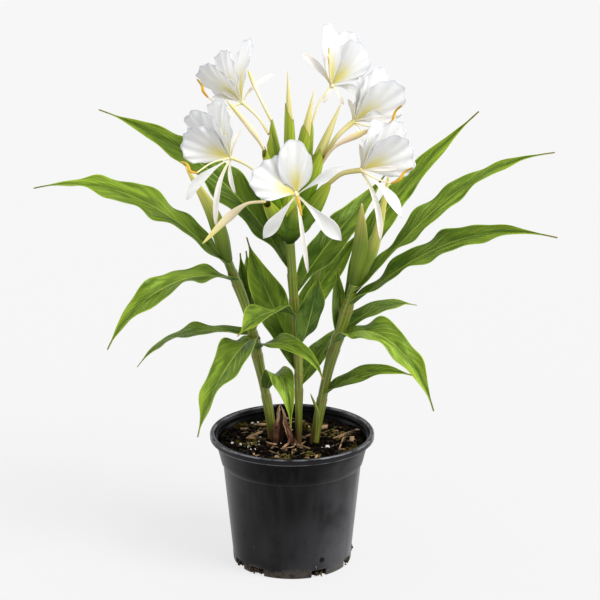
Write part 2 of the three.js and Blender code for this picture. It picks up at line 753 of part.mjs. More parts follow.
function soilSolid(holes) {
  const wall = potWallRadius(POT_SHOULDER_HEIGHT) - SOIL_CLEARANCE;
  const profile = [
    [0, POT_FLOOR + SOIL_CLEARANCE],
    [potWallRadius(POT_FLOOR) - SOIL_CLEARANCE, POT_FLOOR + SOIL_CLEARANCE],
    [wall, POT_SHOULDER_HEIGHT],
    [wall + 0.6, POT_SHOULDER_HEIGHT + 5],
    [SOIL_EDGE_RADIUS, SOIL_LEVEL],
    [58, SOIL_LEVEL], [42, SOIL_LEVEL], [26, SOIL_LEVEL], [12, SOIL_LEVEL], [0, SOIL_LEVEL],
  ].map(([r, z]) => new THREE.Vector2(r, z));
  const body = new THREE.LatheGeometry(profile, SOIL_SEGMENTS);
  body.rotateX(Math.PI / 2);
  const spots = body.getAttribute('position');
  for (let i = 0; i < spots.count; i += 1) {
    if (spots.getZ(i) > SOIL_LEVEL - 0.5) {
      spots.setZ(i, soilSurface(spots.getX(i), spots.getY(i)));
    }
  }
  let soil = toSolid(body);
  const draw = seeded(CHIP_SEED);
  for (let i = 0; i < CHIPS; i += 1) {
    const bearing = draw() * 2 * Math.PI;
    const distance = 12 + 52 * Math.sqrt(draw());
    const size = 3.5 + 4.5 * draw();
    const chip = new THREE.BoxGeometry(size * 1.6, size, size * 0.6);
    chip.rotateX(draw() - 0.5);
    chip.rotateZ(draw() * Math.PI);
    const x = distance * Math.cos(bearing);
    const y = distance * Math.sin(bearing);
    chip.translate(x, y, soilSurface(x, y) + size * 0.12);
    soil = soil.add(toSolid(chip));
  }
  for (const hole of holes) soil = soil.subtract(hole);
  return mainBody(soil);
}

// Assembly

const STANDING_DEPTH = 0.5;
const CANE_HOLE_DEPTH = 1;

// The shreds or the shoot, or with room to spare the hole that they stand in
function standing(shreds, spare = 0) {
  return joined(shreds.map(({ route, radius, fat, root, tip }) => {
    const [[x, y, z], ...rest] = route;
    const deeper = [[x, y, spare > 0 ? z - STANDING_DEPTH : z], ...rest];
    return spindle(deeper, radius + spare, fat, root + spare, tip + spare, STANDING_STEPS, STANDING_SIDES);
  }));
}

function caneHole(cane) {
  const top = cane.curve.getPoint(0.04);
  const middle = cane.curve.getPoint(0.02);
  const floor = cane.curve.getPoint(0).addScaledVector(Z_AXIS, -CANE_HOLE_DEPTH);
  const plug = tubeBetween([floor, middle, top], cane.rootRadius + ROUND_GAP, 3, CANE_SIDES);
  return cane.room.add(plug);
}

const holes = [
  ...Object.values(CANES).map(caneHole),
  standing(HUSK, ROUND_GAP),
  standing(SHOOT, ROUND_GAP),
];

place(container, 'pot', potSolid(), COLOUR.pot, 0.45);
place(container, 'soil', soilSolid(holes), COLOUR.soil, 0.95);
place(plant, 'dried_sheath', standing(HUSK), COLOUR.husk, 0.85);
place(plant, 'young_shoot', standing(SHOOT), COLOUR.sheath, 0.6);
for (const [name, cane] of Object.entries(CANES)) {
  place(plant, `cane_${name}`, cane.solid, COLOUR.cane, 0.55);
}
LEAVES.forEach((spec, index) => {
  place(plant, spec.name, leafSolid(spec, index), COLOUR.leaf, 0.5);
});
for (const rolled of ROLLED) {
  const solid = spindle(rolled.route, rolled.radius, rolled.fat, ROLLED_ROOT, ROLLED_TIP, 8, 8);
  place(plant, rolled.name, solid, COLOUR.sheath, 0.55);
}
place(plant, 'flower_head', head, COLOUR.bract, 0.55);
for (const bloom of BLOOMS) {
  place(plant, `bloom_${bloom.name}`, bloomSolid(bloom), COLOUR.petal, 0.6);
  place(plant, `anther_${bloom.name}`, antherSolid(bloom), COLOUR.anther, 0.6);
}
for (const bud of BUDS) {
  place(plant, bud.name, mainBody(budSolid(bud).subtract(headRoom)), COLOUR.bud, 0.6);
}

export default plantInPot;
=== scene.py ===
"""A white ginger lily in a black nursery pot, dressed over its CAD frame.

Sizes and places are in millimetres, like those of the part's own drawing, and are turned
into metres when a point is laid. Only the patterns and reliefs of the materials are in
metres, as the finished pieces are. +Z is up, and the plant is seen from -Y.
"""

import math
import random

import bpy
from mathutils import Matrix, Vector, noise


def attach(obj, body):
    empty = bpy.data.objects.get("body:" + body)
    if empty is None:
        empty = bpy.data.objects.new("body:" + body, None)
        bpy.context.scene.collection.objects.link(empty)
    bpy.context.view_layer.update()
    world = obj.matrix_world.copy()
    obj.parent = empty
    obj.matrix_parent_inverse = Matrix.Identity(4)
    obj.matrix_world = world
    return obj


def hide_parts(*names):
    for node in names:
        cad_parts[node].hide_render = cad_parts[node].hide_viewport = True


MM = 0.001

# Pot and soil
POT_HEIGHT = 140
RIM_RADIUS = 85
LIP_DROP = 7
NECK_RADIUS = 80.2
SHOULDER_HEIGHT = 108
SHOULDER_RADIUS = 73.3
BODY_TOP_RADIUS = 71.4
FOOT_RADIUS = 61.5
WALL = 2.2
FLOOR_THICKNESS = 3.5
POT_SEGMENTS = 96
SLOT_WIDTH = 17
SLOT_HEIGHT = 8
SLOT_DEPTH = 14
SLOT_BEARINGS = [-62, -36, 27, 68, 112, 152, 198, 236]
SOIL_LEVEL = 129

# Heights of the painted highlight lines along the lip's top and lower edges
LIP_HIGHLIGHT_HEIGHTS = (POT_HEIGHT - 0.9, POT_HEIGHT - LIP_DROP + 0.5)

# Dark spots painted where the pot's wall has a small hole and a pit, as the shade inside them: place and
# width
HOLE_SHADES = [((30.6, -55, 19), 4.4), ((-49.3, -42.5, 41.6), 3.6)]

# Twigs that lie on the soil: place, length, thickness and bearing in degrees
TWIGS = [
    (-32, 22, 40, 2.4, 52), (-40, 4, 16, 1.8, 20), (51, 11, 43, 2.2, 26), (51, -12, 26, 1.4, 80),
    (60, 24, 12, 2, 40), (33, 40, 9, 5.5, 10), (4, -18, 15, 2, -35), (10, -10, 13, 1.6, 60),
    (14, -24, 12, 1.8, -20), (-4, -22, 14, 1.6, 15), (2, -30, 10, 1.4, -60), (20, 14, 12, 2.2, 30),
    (-20, -22, 9, 1.6, 70), (24, 44, 22, 1.8, -20), (-48, 34, 12, 2.6, 10), (40, -16, 11, 1.4, 50),
]

# Clods in the drainage slots and at the foot: kind, bearing in degrees, height, spread,
# number and size
CLOD_HEAPS = [
    ("clods", -37, 4, 6, 26, 3.4), ("clods", -62, 5, 5, 14, 2.8), ("clods", 27, 2.5, 6, 8, 2.2),
    ("clods", 68, 4, 6, 16, 2.8), ("clods", 88, 9, 4, 16, 2.8), ("moss", 30, 2, 3, 6, 2),
    ("bark", 24, 11, 1.5, 4, 1.8), ("bark", 90, 14, 3, 5, 1.8),
]

# Mounds of moss: place, spread and number
MOSS_MOUNDS = [
    (-6, -48, 12, 34), (44, 20, 17, 90), (-34, 26, 13, 24), (-46, -14, 9, 24), (20, -42, 8, 20),
]

# White grains of perlite that the photo shows: place and size
PERLITE_GRAINS = [
    (36, -22, 4), (-62, -8, 3), (-53, -15, 2.8), (-42, 48, 3.2), (-36, 52, 2.6), (12, -38, 2.2),
]

# How much lies strewn on the soil by chance
CHIP_COUNT = 62
LARGE_CHIPS = 9
SPLINTER_COUNT = 12
CRUMB_COUNT = 260
SMALL_GRAINS = 22

# Canes: the points of the middle line, and the radius at the root and at the top
CANES = {
    "left": ([(-17, 4, 97), (-24, 6, 160), (-35, 9, 215), (-46, 11, 267), (-65, 14, 318)], 4.9, 4.7),
    "centre": ([(6, -6, 97), (7, -6, 168), (6, -6, 225), (2, -5, 285), (-2, -4, 343)], 3.4, 5.0),
    "right": ([(18, -4, 97), (28, -4, 160), (39, -4, 215), (53, -2, 262), (63, 0, 298)], 5.0, 5.2),
}
SHEATH_STEP = 0.7
SHEATH_LENGTH = 46
CANE_FOOT_TOP = 138
CANE_FOOT_LENGTH = 26
CANE_FOOT_SWELL = 0.8

# Where the canes leave the soil, and how far from there nothing is strewn
CANE_FEET = [(-20, 5), (6, -6), (23, -4)]
CANE_CLEARANCE = 8

# Leaves: cane, height on it, tip, slope of the midrib at the root and at the tip, width,
# roll, how pale the leaf is from 0 to 1, and what sets it apart: swing turns its root aside
# by that many degrees, arch stretches its curve and widest is where it is broadest
LEAVES = {
    "left_back": ("centre", 310, (-200, 95, 458), 50, 12, 37, -38, 0.42, {"swing": -18}),
    "left_long": ("left", 308, (-266, 60, 383), 46, -17, 32, -30, 0.92, {}),
    "left_arching": ("left", 296, (-184, -60, 248), 32, -62, 33, -20, 0.62, {}),
    "left_dark": ("left", 240, (-164, 68, 186), 4, -54, 22, -22, 0.3, {}),
    "left_hanging": ("left", 235, (-94, -84, 164), 30, -70, 38, 10, 0.6, {"swing": 26}),
    "front_short": ("centre", 266, (-54, -72, 266), 32, -30, 39, 0, 0.5, {}),
    "front_right": ("left", 221, (31, -60, 216), 56, -74, 21, 26, 0.5, {"swing": -34}),
    "upright_broad": ("centre", 204, (-46, 14, 344), 62, 74, 34, -72, 0.68, {"swing": -38, "widest": 0.56}),
    "upright_narrow": ("left", 262, (-53, 32, 322), 72, 82, 13, 0, 0.35, {}),
    "back_low": ("left", 244, (-48, 76, 312), 44, 40, 24, -8, 0.15, {"swing": -24}),
    "right_steep": ("right", 276, (193, 92, 457), 50, 32, 25, 42, 0.8, {"swing": 42}),
    "right_high": ("right", 282, (269, 56, 422), 50, 2, 25, 30, 0.64, {"swing": -26}),
    "right_long": ("right", 272, (262, -56, 363), 43, -11, 29, 40, 0.5, {}),
    "right_small": ("right", 244, (130, 48, 261), 38, -18, 21, 18, 0.45, {}),
    "right_arching": ("right", 232, (141, -88, 193), 54, -70, 35, 20, 0.9, {"arch": 1.25}),
    "right_low": ("right", 178, (124, -26, 209), 46, -14, 20, 32, 0.72, {}),
    "back_right": ("centre", 286, (100, 88, 395), 52, 40, 31, 40, 0.4, {}),
    "back_pale": ("centre", 250, (72, 64, 340), 56, 44, 27, 50, 0.84, {"swing": 14}),
    "middle_dark": ("centre", 226, (28, -34, 321), 68, 74, 26, -30, 0.2, {"swing": 24, "widest": 0.52}),
    "right_upright": ("right", 246, (47, 26, 308), 70, 80, 16, 8, 0.52, {}),
    "low_right": ("centre", 188, (50, 58, 236), 48, 22, 21, 25, 0.5, {}),
    "low_folded": ("left", 178, (-1, -58, 163), 66, -88, 26, 10, 0.8, {"arch": 2}),
}
LEAF_ROOT_HALF = 3.6
LEAF_TAIL_HALF = 0.8
LEAF_TAIL_START = 0.93
LEAF_WIDEST = 0.42
LEAF_FOLD = 0.28
LEAF_HANDLE = 0.38
LEAF_SWAY = 7
LEAF_CLASP = 0.7
RIB_DEPTH = 0.35
RIB_HALF = 1.1
WAVE_LENGTH = 60
WAVE_HEIGHT = 0.25
LEAF_SHEET = 0.7

# Leaves that haven't opened: points of the route, largest radius, where it lies, radius of
# the root, and how far down the pale tip comes from 0 to 1
ROLLED = {
    "left": ([(-65, 14, 319), (-79, 15, 366), (-107, 16, 417)], 7.4, 0.3, 4.6, 0.6),
    "right": ([(63.2, 0, 299), (69, -6, 341), (70, -10, 386)], 7.3, 0.42, 4.6, 0.42),
    "back": ([(65.5, 4, 293), (74, 9.5, 313), (84, 14, 337), (99, 26, 409)], 6, 0.52, 3.4, 0.5),
}

# Bracts: route, largest radius, where it lies and radius of the mouth. A closed spike has
# the share of its length that its own bract covers after them.
HEAD_FOOT = (-2, -4, 343.6)
HEAD_CORE = ([HEAD_FOOT, (0, -4, 372), (-1, -3, 400)], 16, 0.45, 5)
SPIKES = [
    ([(-1, -3, 362), (-2, -3, 440), (-4, -2, 519)], 5.7, 0.45, 0.8, 0.8),
    ([(4, 0, 366), (10, 6, 430), (22, 14, 496)], 6.2, 0.5, 0.8, 0.74),
    ([(6, 0, 366), (20, 2, 412), (50, 10, 486)], 6.8, 0.5, 0.8, 0.66),
]
BRACTS = [
    ([(-2, -6, 350), (-11, -10, 368), (-16, -14, 388)], 10, 0.45, 1.5),
    ([(0, -6, 350), (10, -8, 369), (20, -12, 394)], 11, 0.45, 1.5),
    ([(6, -6, 366), (17, -8, 402), (31, -3, 440)], 7.6, 0.5, 2.6),
    ([(4, -8, 353), (20, -14, 380), (38, -20, 411)], 8.8, 0.45, 2.4),
    ([(-5, 4, 372), (-14, 14, 420), (-21, 22, 465)], 5.0, 0.55, 1.4),
    ([(-6, -1, 372), (-16, 5, 415), (-24, 10, 455)], 4.8, 0.55, 1.8),
    ([(-7, -6, 372), (-19, -7, 412), (-29, -6, 443)], 4.6, 0.55, 1.8),
    ([(-3, -7, 352), (-15, -15, 371), (-28, -24, 395)], 8.2, 0.42, 2.2),
    ([(-6, -6, 366), (-20, -13, 394), (-30, -18, 416)], 5.0, 0.5, 1.9),
    ([(0, -10, 358), (3, -22, 374), (7, -30, 389)], 7.0, 0.35, 2.2),
    ([(7, 4, 376), (15, 14, 420), (20, 22, 462)], 4.6, 0.5, 1.6),
    ([(2, 8, 362), (6, 26, 390), (8, 36, 418)], 6.0, 0.45, 1.2),
    ([(-6, 6, 360), (-18, 22, 384), (-26, 32, 408)], 5.6, 0.45, 1.2),
]

# Blooms: throat, the tube's mouth and bend, the way the bloom faces, the tube's radius,
# how green the tube is, then the petals as kind, reach from the throat and width, and the
# filament and the anther as reaches from the throat
BLOOMS = {
    "top_left": (
        (-50, 34, 479), (-23, 9.5, 452), (-34, 24, 466), (-0.75, -0.45, 0.5), 1.4, 0.2,
        [
            ("lobe", (9, 12, 62), 30), ("lobe", (-15, -2, 57), 36), ("lobe", (-36, -10, 44), 40),
            ("broad", (-30, -14, 8), 12), ("strap", (34, 10, 28), 5), ("strap", (-20, -12, 15), 5),
            ("strap", (-13, -8, -17), 4.5),
        ],
        [(-18, -8, -4), (-34, -16, 9)], (-44, -20, 28),
    ),
    "left": (
        (-60, -16, 434), (-28, -17, 413), (-44, -18, 427), (-0.7, -0.6, 0.35), 1.4, 0.4,
        [
            ("lobe", (-10, 0, 61), 36), ("lobe", (-35, -8, 50), 46), ("lobe", (-47, -14, 28), 40),
            ("broad", (-44, -20, -38), 16), ("strap", (10, 4, 27), 5.5), ("strap", (-15, -24, -64), 6.5),
            ("strap", (4, -14, -33), 5),
        ],
        [(-18, -10, -2), (-34, -22, -10)], (-49, -28, 3),
    ),
    "front": (
        (5, -56, 407), (6, -27, 385), (7, -46, 397), (0, -0.94, 0.34), 1.8, 0.3,
        [
            ("lip", (-3, 0, 56), 34), ("lobe", (-40, -2, 27), 46),
            ("broad", (-33, -10, -42), 13.5), ("broad", (44, -10, -44), 16), ("broad", (45, -2, 30), 10),
            ("strap", (11, -16, -76), 5),
        ],
        [(-1, -12, 6), (0, -20, 4)], (5, -27, -14),
    ),
    "top_right": (
        (40, 34, 496), (19.5, 21, 459), (28, 28, 481), (0.3, -0.62, 0.72), 1.2, 0.1,
        [
            ("oval", (-6, -5, 65), 22), ("lobe", (17, 12, 54), 32), ("lobe", (35, 4, 38), 38),
            ("broad", (27, 0, -6), 11), ("strap", (-31, -4, 34), 8), ("strap", (-8, -6, -16), 4.5),
            ("strap", (12, -6, -18), 4.5),
        ],
        [(-2, -8, 12), (-3, -15, 26)], (-3, -15, 42),
    ),
    "right": (
        (61, 16, 463), (32, -2, 430), (45, -2, 452), (0.75, -0.5, 0.4), 2.4, 0.9,
        [
            ("lobe", (9, 0, 46), 28), ("lobe", (28, 4, 55), 42), ("lobe", (48, 2, 36), 46),
            ("broad", (31, -6, 9), 14), ("strap", (-5, 2, 23), 5.5), ("strap", (33, -10, 6), 5),
            ("strap", (10, -10, -18), 4.5),
        ],
        [(16, -10, -2), (33, -18, 0)], (48, -22, 22),
    ),
    "right_low": (
        (68, -18, 422), (35, -19, 407), (50, -20, 419), (0.75, -0.6, 0.25), 2.4, 1.0,
        [
            ("lobe", (16, 6, 52), 28), ("lobe", (39, 4, 48), 42), ("lobe", (51, -2, 27), 46),
            ("broad", (41, -16, -45), 16), ("strap", (-1, 2, 26), 5.5), ("strap", (38, -8, 4), 5),
            ("strap", (20, -16, -68), 7),
        ],
        [(14, -12, -5), (30, -22, -8)], (51, -26, 9),
    ),
}
THROAT_RADIUS = 2.6
PETAL_SHEET = 0.5
PETAL_CUP = 0.22
LOBE_CUP = 0.12
LOBE_LAYER = 1.2
LIP_NOTCH = -0.36
LIP_STEP = 2.4
FILAMENT_RADIUS = 0.85
ANTHER_RADIUS = 1.55

# Unopened buds: route, largest radius, where it lies and how pink the bud is
BUDS = {
    "bud_top_left": ([(-20, 21, 462), (-35, 30, 491), (-44, 36, 512)], 2.2, 0.72, 0.0),
    "bud_left_upper": ([(-27.5, -6, 440), (-39, -10, 460), (-64, -16, 492)], 3.2, 0.5, 0.3),
    "bud_left_lower": (
        [(-26, -22, 391), (-45, -32, 391), (-63, -41, 379), (-88, -53, 356)], 4.2, 0.64, 0.2
    ),
    "bud_right": ([(29, -4, 424), (44, -11, 445), (78, -16, 463)], 3.3, 0.8, 0.55),
}
BUD_TUBE = 1.5
BUD_SWELL = 0.36
SHOOT = ([(22, -8, 108), (25.5, -9, 140), (26, -10, 164), (18.5, -13, 186)], 2.3, 0.4)

# The dried sheath is a tent of shreds: route, largest radius, where it lies and tone
HUSKS = [
    ([(-17, -6, 122), (-15.5, -9, 150), (-11.2, -11, 174)], 2.8, 0.3, 0.3),
    ([(4, -14, 124), (-5, -13, 147), (-11, -11.5, 172)], 2.5, 0.3, 0.3),
    ([(1, -15, 128), (-5, -15, 145), (-10, -13, 162)], 1.2, 0.3, 0.85),
    ([(-12, -3, 122), (-11, -6, 148), (-11, -10, 168)], 2.8, 0.3, 0.0),
    ([(-17, -12, 146), (-15, -12, 155), (-12, -12, 170)], 1.1, 0.4, 0.95),
    ([(0, -9, 122), (-5, -9, 148), (-10, -11, 164)], 2.2, 0.3, 0.05),
    ([(2, -14, 140), (3, -19, 132), (-6, -25, 130)], 0.9, 0.4, 1.0),
    ([(2, -15, 138), (6, -20, 132), (14, -26, 130)], 0.9, 0.4, 0.8),
    ([(-2, -14, 142), (-4, -19, 133), (-10, -24, 130)], 0.8, 0.4, 0.6),
]

CRUMPLE_SEED = 8

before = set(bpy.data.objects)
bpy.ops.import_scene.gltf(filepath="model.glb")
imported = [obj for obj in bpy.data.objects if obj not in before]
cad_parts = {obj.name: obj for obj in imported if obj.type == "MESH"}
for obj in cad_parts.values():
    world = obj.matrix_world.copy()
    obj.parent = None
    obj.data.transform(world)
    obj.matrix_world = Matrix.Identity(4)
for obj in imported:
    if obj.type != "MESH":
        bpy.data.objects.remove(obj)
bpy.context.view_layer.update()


# Points and routes

def metres(point):
    return Vector(point) * MM


def mixed(low, high, share):
    return low + (high - low) * share


def eased(share):
    share = min(max(share, 0), 1)
    return share * share * (3 - 2 * share)


def smooth_route(points):
    """A curve through the points, as spot(t) and heading(t) for t from 0 to 1."""
    spots = [Vector(p) for p in points]
    spots = [2 * spots[0] - spots[1]] + spots + [2 * spots[-1] - spots[-2]]

    def spot(t):
        place = min(max(t, 0), 1) * (len(spots) - 3)
        first = min(int(place), len(spots) - 4)
        share = place - first
        a, b, c, d = spots[first:first + 4]
        before, between, after = (max(1e-4, (q - p).length ** 0.5) for p, q in ((a, b), (b, c), (c, d)))
        start = (b - a) / before - (c - a) / (before + between) + (c - b) / between
        end = (c - b) / between - (d - b) / (between + after) + (d - c) / after
        start, end = start * between, end * between
        return (
            b
            + start * share
            + (3 * (c - b) - 2 * start - end) * share ** 2
            + (2 * (b - c) + start + end) * share ** 3
        )

    return spot, heading_of(spot)


def bow(root, root_handle, tip_handle, tip):
    """A cubic bow from root to tip, as spot(t) and heading(t)."""
    def spot(t):
        rest = 1 - t
        return (
            root * rest ** 3 + root_handle * (3 * t * rest ** 2)
            + tip_handle * (3 * t ** 2 * rest) + tip * t ** 3
        )

    return spot, heading_of(spot)


def heading_of(spot):
    def heading(t):
        near, far = max(0, t - 0.004), min(1, t + 0.004)
        return (spot(far) - spot(near)).normalized()

    return heading


def swelling(radius, fat, root_radius, tip_radius):
    """A radius along a spindle that is largest at the share fat of its length."""
    def radius_at(t):
        end = root_radius if t < fat else tip_radius
        share = t / fat if t < fat else (1 - t) / (1 - fat)
        return end + (radius - end) * math.sin(math.pi / 2 * max(0, share)) ** 1.1

    return radius_at


# Making pieces

def pick_nothing():
    bpy.ops.object.select_all(action="DESELECT")


def pick_only(*pieces):
    pick_nothing()
    for piece in pieces:
        piece.select_set(True)
    bpy.context.view_layer.objects.active = pieces[0]


def finish_modifier(piece, kind, **settings):
    pick_only(piece)
    bpy.ops.object.modifier_add(type=kind)
    modifier = piece.modifiers[-1]
    for name, value in settings.items():
        setattr(modifier, name, value)
    bpy.ops.object.modifier_apply(modifier=modifier.name)


def paint(piece, tone):
    """Gives every point of a piece the same tone, which its material reads."""
    layer = piece.data.attributes.new("tone", "FLOAT", "POINT")
    layer.data.foreach_set("value", [tone] * len(piece.data.vertices))


def laid_grid(name, across, along, place, tone=0.5):
    """A grid primitive whose points are laid in space. place gives a point from its share
    across and its share along, which stay in the piece's UV map."""
    pick_nothing()
    bpy.ops.mesh.primitive_grid_add(x_subdivisions=across, y_subdivisions=along, size=1, calc_uvs=True)
    grid = bpy.context.object
    grid.name = grid.data.name = name
    for vertex in grid.data.vertices:
        vertex.co = place(vertex.co.x + 0.5, vertex.co.y + 0.5) * MM
    paint(grid, tone)
    return grid


def close_up(piece, gap=0.02):
    """Joins the points that meet, closes open ends and turns the faces outwards."""
    pick_only(piece)
    bpy.ops.object.mode_set(mode="EDIT")
    bpy.ops.mesh.select_all(action="SELECT")
    bpy.ops.mesh.remove_doubles(threshold=gap * MM)
    bpy.ops.mesh.fill_holes(sides=0)
    bpy.ops.mesh.select_all(action="SELECT")
    bpy.ops.mesh.normals_make_consistent(inside=False)
    bpy.ops.object.mode_set(mode="OBJECT")


def smooth(piece, angle=180):
    pick_only(piece)
    if angle < 180:
        bpy.ops.object.shade_smooth_by_angle(angle=math.radians(angle))
    else:
        bpy.ops.object.shade_smooth()


def on_ring(middle, along, angle, radius):
    """The point at an angle and a radius round a route's middle line."""
    across = Vector((1, 0.25, 0)).cross(along).normalized()
    out = along.cross(across)
    return middle + across * (radius * math.cos(angle)) + out * (radius * math.sin(angle))


def wrapped(name, route, radius_at, sides, steps, tone=0.5, dent=None):
    """A closed round body along a route."""
    spot, heading = smooth_route(route)

    def place(u, v):
        radius = radius_at(v) * (dent(u, v) if dent else 1)
        return on_ring(spot(v), heading(v), math.tau * u, radius)

    piece = laid_grid(name, sides, steps, place, tone)
    close_up(piece)
    smooth(piece)
    return piece


def rolled_sheet(name, route, radius_at, turns, start, reach=(0, 1), slant=0.0, twist=0.0,
                 sheet=0.5, sides=18, steps=22, tone=0.5):
    """A sheet rolled round a route, with its free edge outside and a slanted mouth."""
    spot, heading = smooth_route(route)

    def place(u, v):
        angle = start + math.tau * turns * u + twist * v
        cut = slant * (0.5 + 0.5 * math.cos(angle - start)) * v ** 2
        t = mixed(reach[0], reach[1], v) - cut
        return on_ring(spot(t), heading(t), angle, radius_at(t) * mixed(0.97, 1.1, u))

    return thickened(laid_grid(name, sides, steps, place, tone), sheet)


def thickened(piece, sheet, **settings):
    """Gives an open sheet its thickness and rounds it off with one subdivision."""
    finish_modifier(piece, "SOLIDIFY", thickness=sheet * MM, offset=0, **settings)
    finish_modifier(piece, "SUBSURF", levels=1, render_levels=1)
    smooth(piece)
    return piece


def joined(name, pieces):
    pick_only(*pieces)
    bpy.ops.object.join()
    whole = bpy.context.object
    whole.name = whole.data.name = name
    return whole


def wear(piece, *materials):
    piece.data.materials.clear()
    for material in materials:
        piece.data.materials.append(material)


def settle(piece, node):
    """Hands a finished piece over in place of the frame's node."""
    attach(piece, "root")
    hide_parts(node)


# Materials: each is a tree of nodes, and its colour is laid on wash by wash

def tint(red, green, blue):
    """A colour as the eye names it, from 0 to 255, in the light's own scale."""
    def linear(value):
        share = value / 255
        return share / 12.92 if share <= 0.04045 else ((share + 0.055) / 1.055) ** 2.4

    return (linear(red), linear(green), linear(blue), 1)


class Nodes:
    """Short ways to add nodes to a tree."""

    def __init__(self, tree):
        self.tree = tree

    def add(self, kind, inputs=None, **settings):
        node = self.tree.nodes.new(kind)
        for name, value in settings.items():
            setattr(node, name, value)
        for name, value in (inputs or {}).items():
            if isinstance(value, bpy.types.NodeSocket):
                self.tree.links.new(value, node.inputs[name])
            else:
                node.inputs[name].default_value = value
        return node

    def maths(self, operation, *values):
        return self.add("ShaderNodeMath", dict(enumerate(values)), operation=operation).outputs[0]

    def times(self, first, second):
        return self.maths("MULTIPLY", first, second)

    def scaled(self, value, factor, added):
        """The value times the factor, and something added."""
        return self.maths("MULTIPLY_ADD", value, factor, added)

    def rising(self, share, low, high):
        """0 below low, 1 above high, and smooth between them."""
        node = self.add(
            "ShaderNodeMapRange", {"Value": share, "From Min": low, "From Max": high},
            interpolation_type="SMOOTHSTEP",
        )
        return node.outputs["Result"]

    def falling(self, share, low, high):
        """1 below low, 0 above high, and smooth between them."""
        return self.maths("SUBTRACT", 1.0, self.rising(share, low, high))

    def blend(self, share, low, high):
        return self.add("ShaderNodeMix", {0: share, 6: low, 7: high}, data_type="RGBA").outputs[2]

    def attribute(self, name):
        return self.add("ShaderNodeAttribute", attribute_name=name).outputs["Fac"]

    def place(self):
        return self.add("ShaderNodeTexCoord").outputs["Object"]

    def grain(self, scale, detail=4.0, vector=None):
        """Noise from 0 to 1, on the piece's own place unless another vector is given."""
        vector = self.place() if vector is None else vector
        noise_node = self.add("ShaderNodeTexNoise", {"Vector": vector, "Scale": scale, "Detail": detail})
        return noise_node.outputs["Fac"]

    def follow(self):
        """The share along a piece, the distance from its middle line and the share across it."""
        self.uv = self.add("ShaderNodeUVMap", uv_map="UVMap").outputs["UV"]
        parts = self.add("ShaderNodeSeparateXYZ", {0: self.uv}).outputs
        off_middle = self.maths("ABSOLUTE", self.scaled(parts["X"], 2.0, -1.0))
        return parts["Y"], off_middle, parts["X"]

    def streaks(self, detail, across, along):
        """Noise on the UV map that the tree follows, drawn out so that it runs along the piece."""
        drawn_out = self.add("ShaderNodeMapping", {"Vector": self.uv, "Scale": (across, along, 1.0)})
        return self.grain(1.0, detail, drawn_out.outputs["Vector"])


class Coat(Nodes):
    """A material in the making, with the colour that has been laid on so far as its body."""

    def __init__(self, name, roughness, **sockets):
        self.material = bpy.data.materials.new(name)
        self.material.use_nodes = True
        super().__init__(self.material.node_tree)
        self.shader = self.tree.nodes["Principled BSDF"]
        self.shader.inputs["Roughness"].default_value = roughness
        for socket, value in sockets.items():
            self.shader.inputs[socket.replace("_", " ")].default_value = value

    def ground(self, share, low, high):
        self.body = self.blend(share, low, high)

    def wash(self, colour, mask, strength=1.0):
        """Lays a colour over the body where the mask is."""
        if strength != 1.0:
            mask = self.times(mask, strength)
        self.body = self.blend(mask, self.body, colour)

    def finished(self, height, distance, strength):
        """The material, once its shader has the body colour and a relief."""
        bump = self.add("ShaderNodeBump", {"Height": height, "Distance": distance, "Strength": strength})
        self.tree.links.new(bump.outputs["Normal"], self.shader.inputs["Normal"])
        self.tree.links.new(self.body, self.shader.inputs["Base Color"])
        return self.material


def veins_group():
    """Lines and uneven bands that leave the middle line at a slant and run on to the tip."""
    group = bpy.data.node_groups.new("side veins", "ShaderNodeTree")
    for way, names in (("INPUT", ("Count", "Lean")), ("OUTPUT", ("Lines", "Bands"))):
        for name in names:
            group.interface.new_socket(name, in_out=way, socket_type="NodeSocketFloat")
    nodes = Nodes(group)
    given = nodes.add("NodeGroupInput").outputs
    result = nodes.add("NodeGroupOutput").inputs
    along, off_middle, across = nodes.follow()
    lean = nodes.times(off_middle, given["Lean"])
    slanted = nodes.maths("SUBTRACT", nodes.times(along, given["Count"]), lean)
    lines = nodes.scaled(nodes.maths("SINE", slanted), 0.5, 0.5)
    place = nodes.add(
        "ShaderNodeCombineXYZ", {"X": nodes.times(slanted, 0.08), "Y": nodes.times(across, 2.0)}
    ).outputs[0]
    group.links.new(lines, result["Lines"])
    group.links.new(nodes.grain(1.0, 1.0, place), result["Bands"])
    return group


SIDE_VEINS = veins_group()


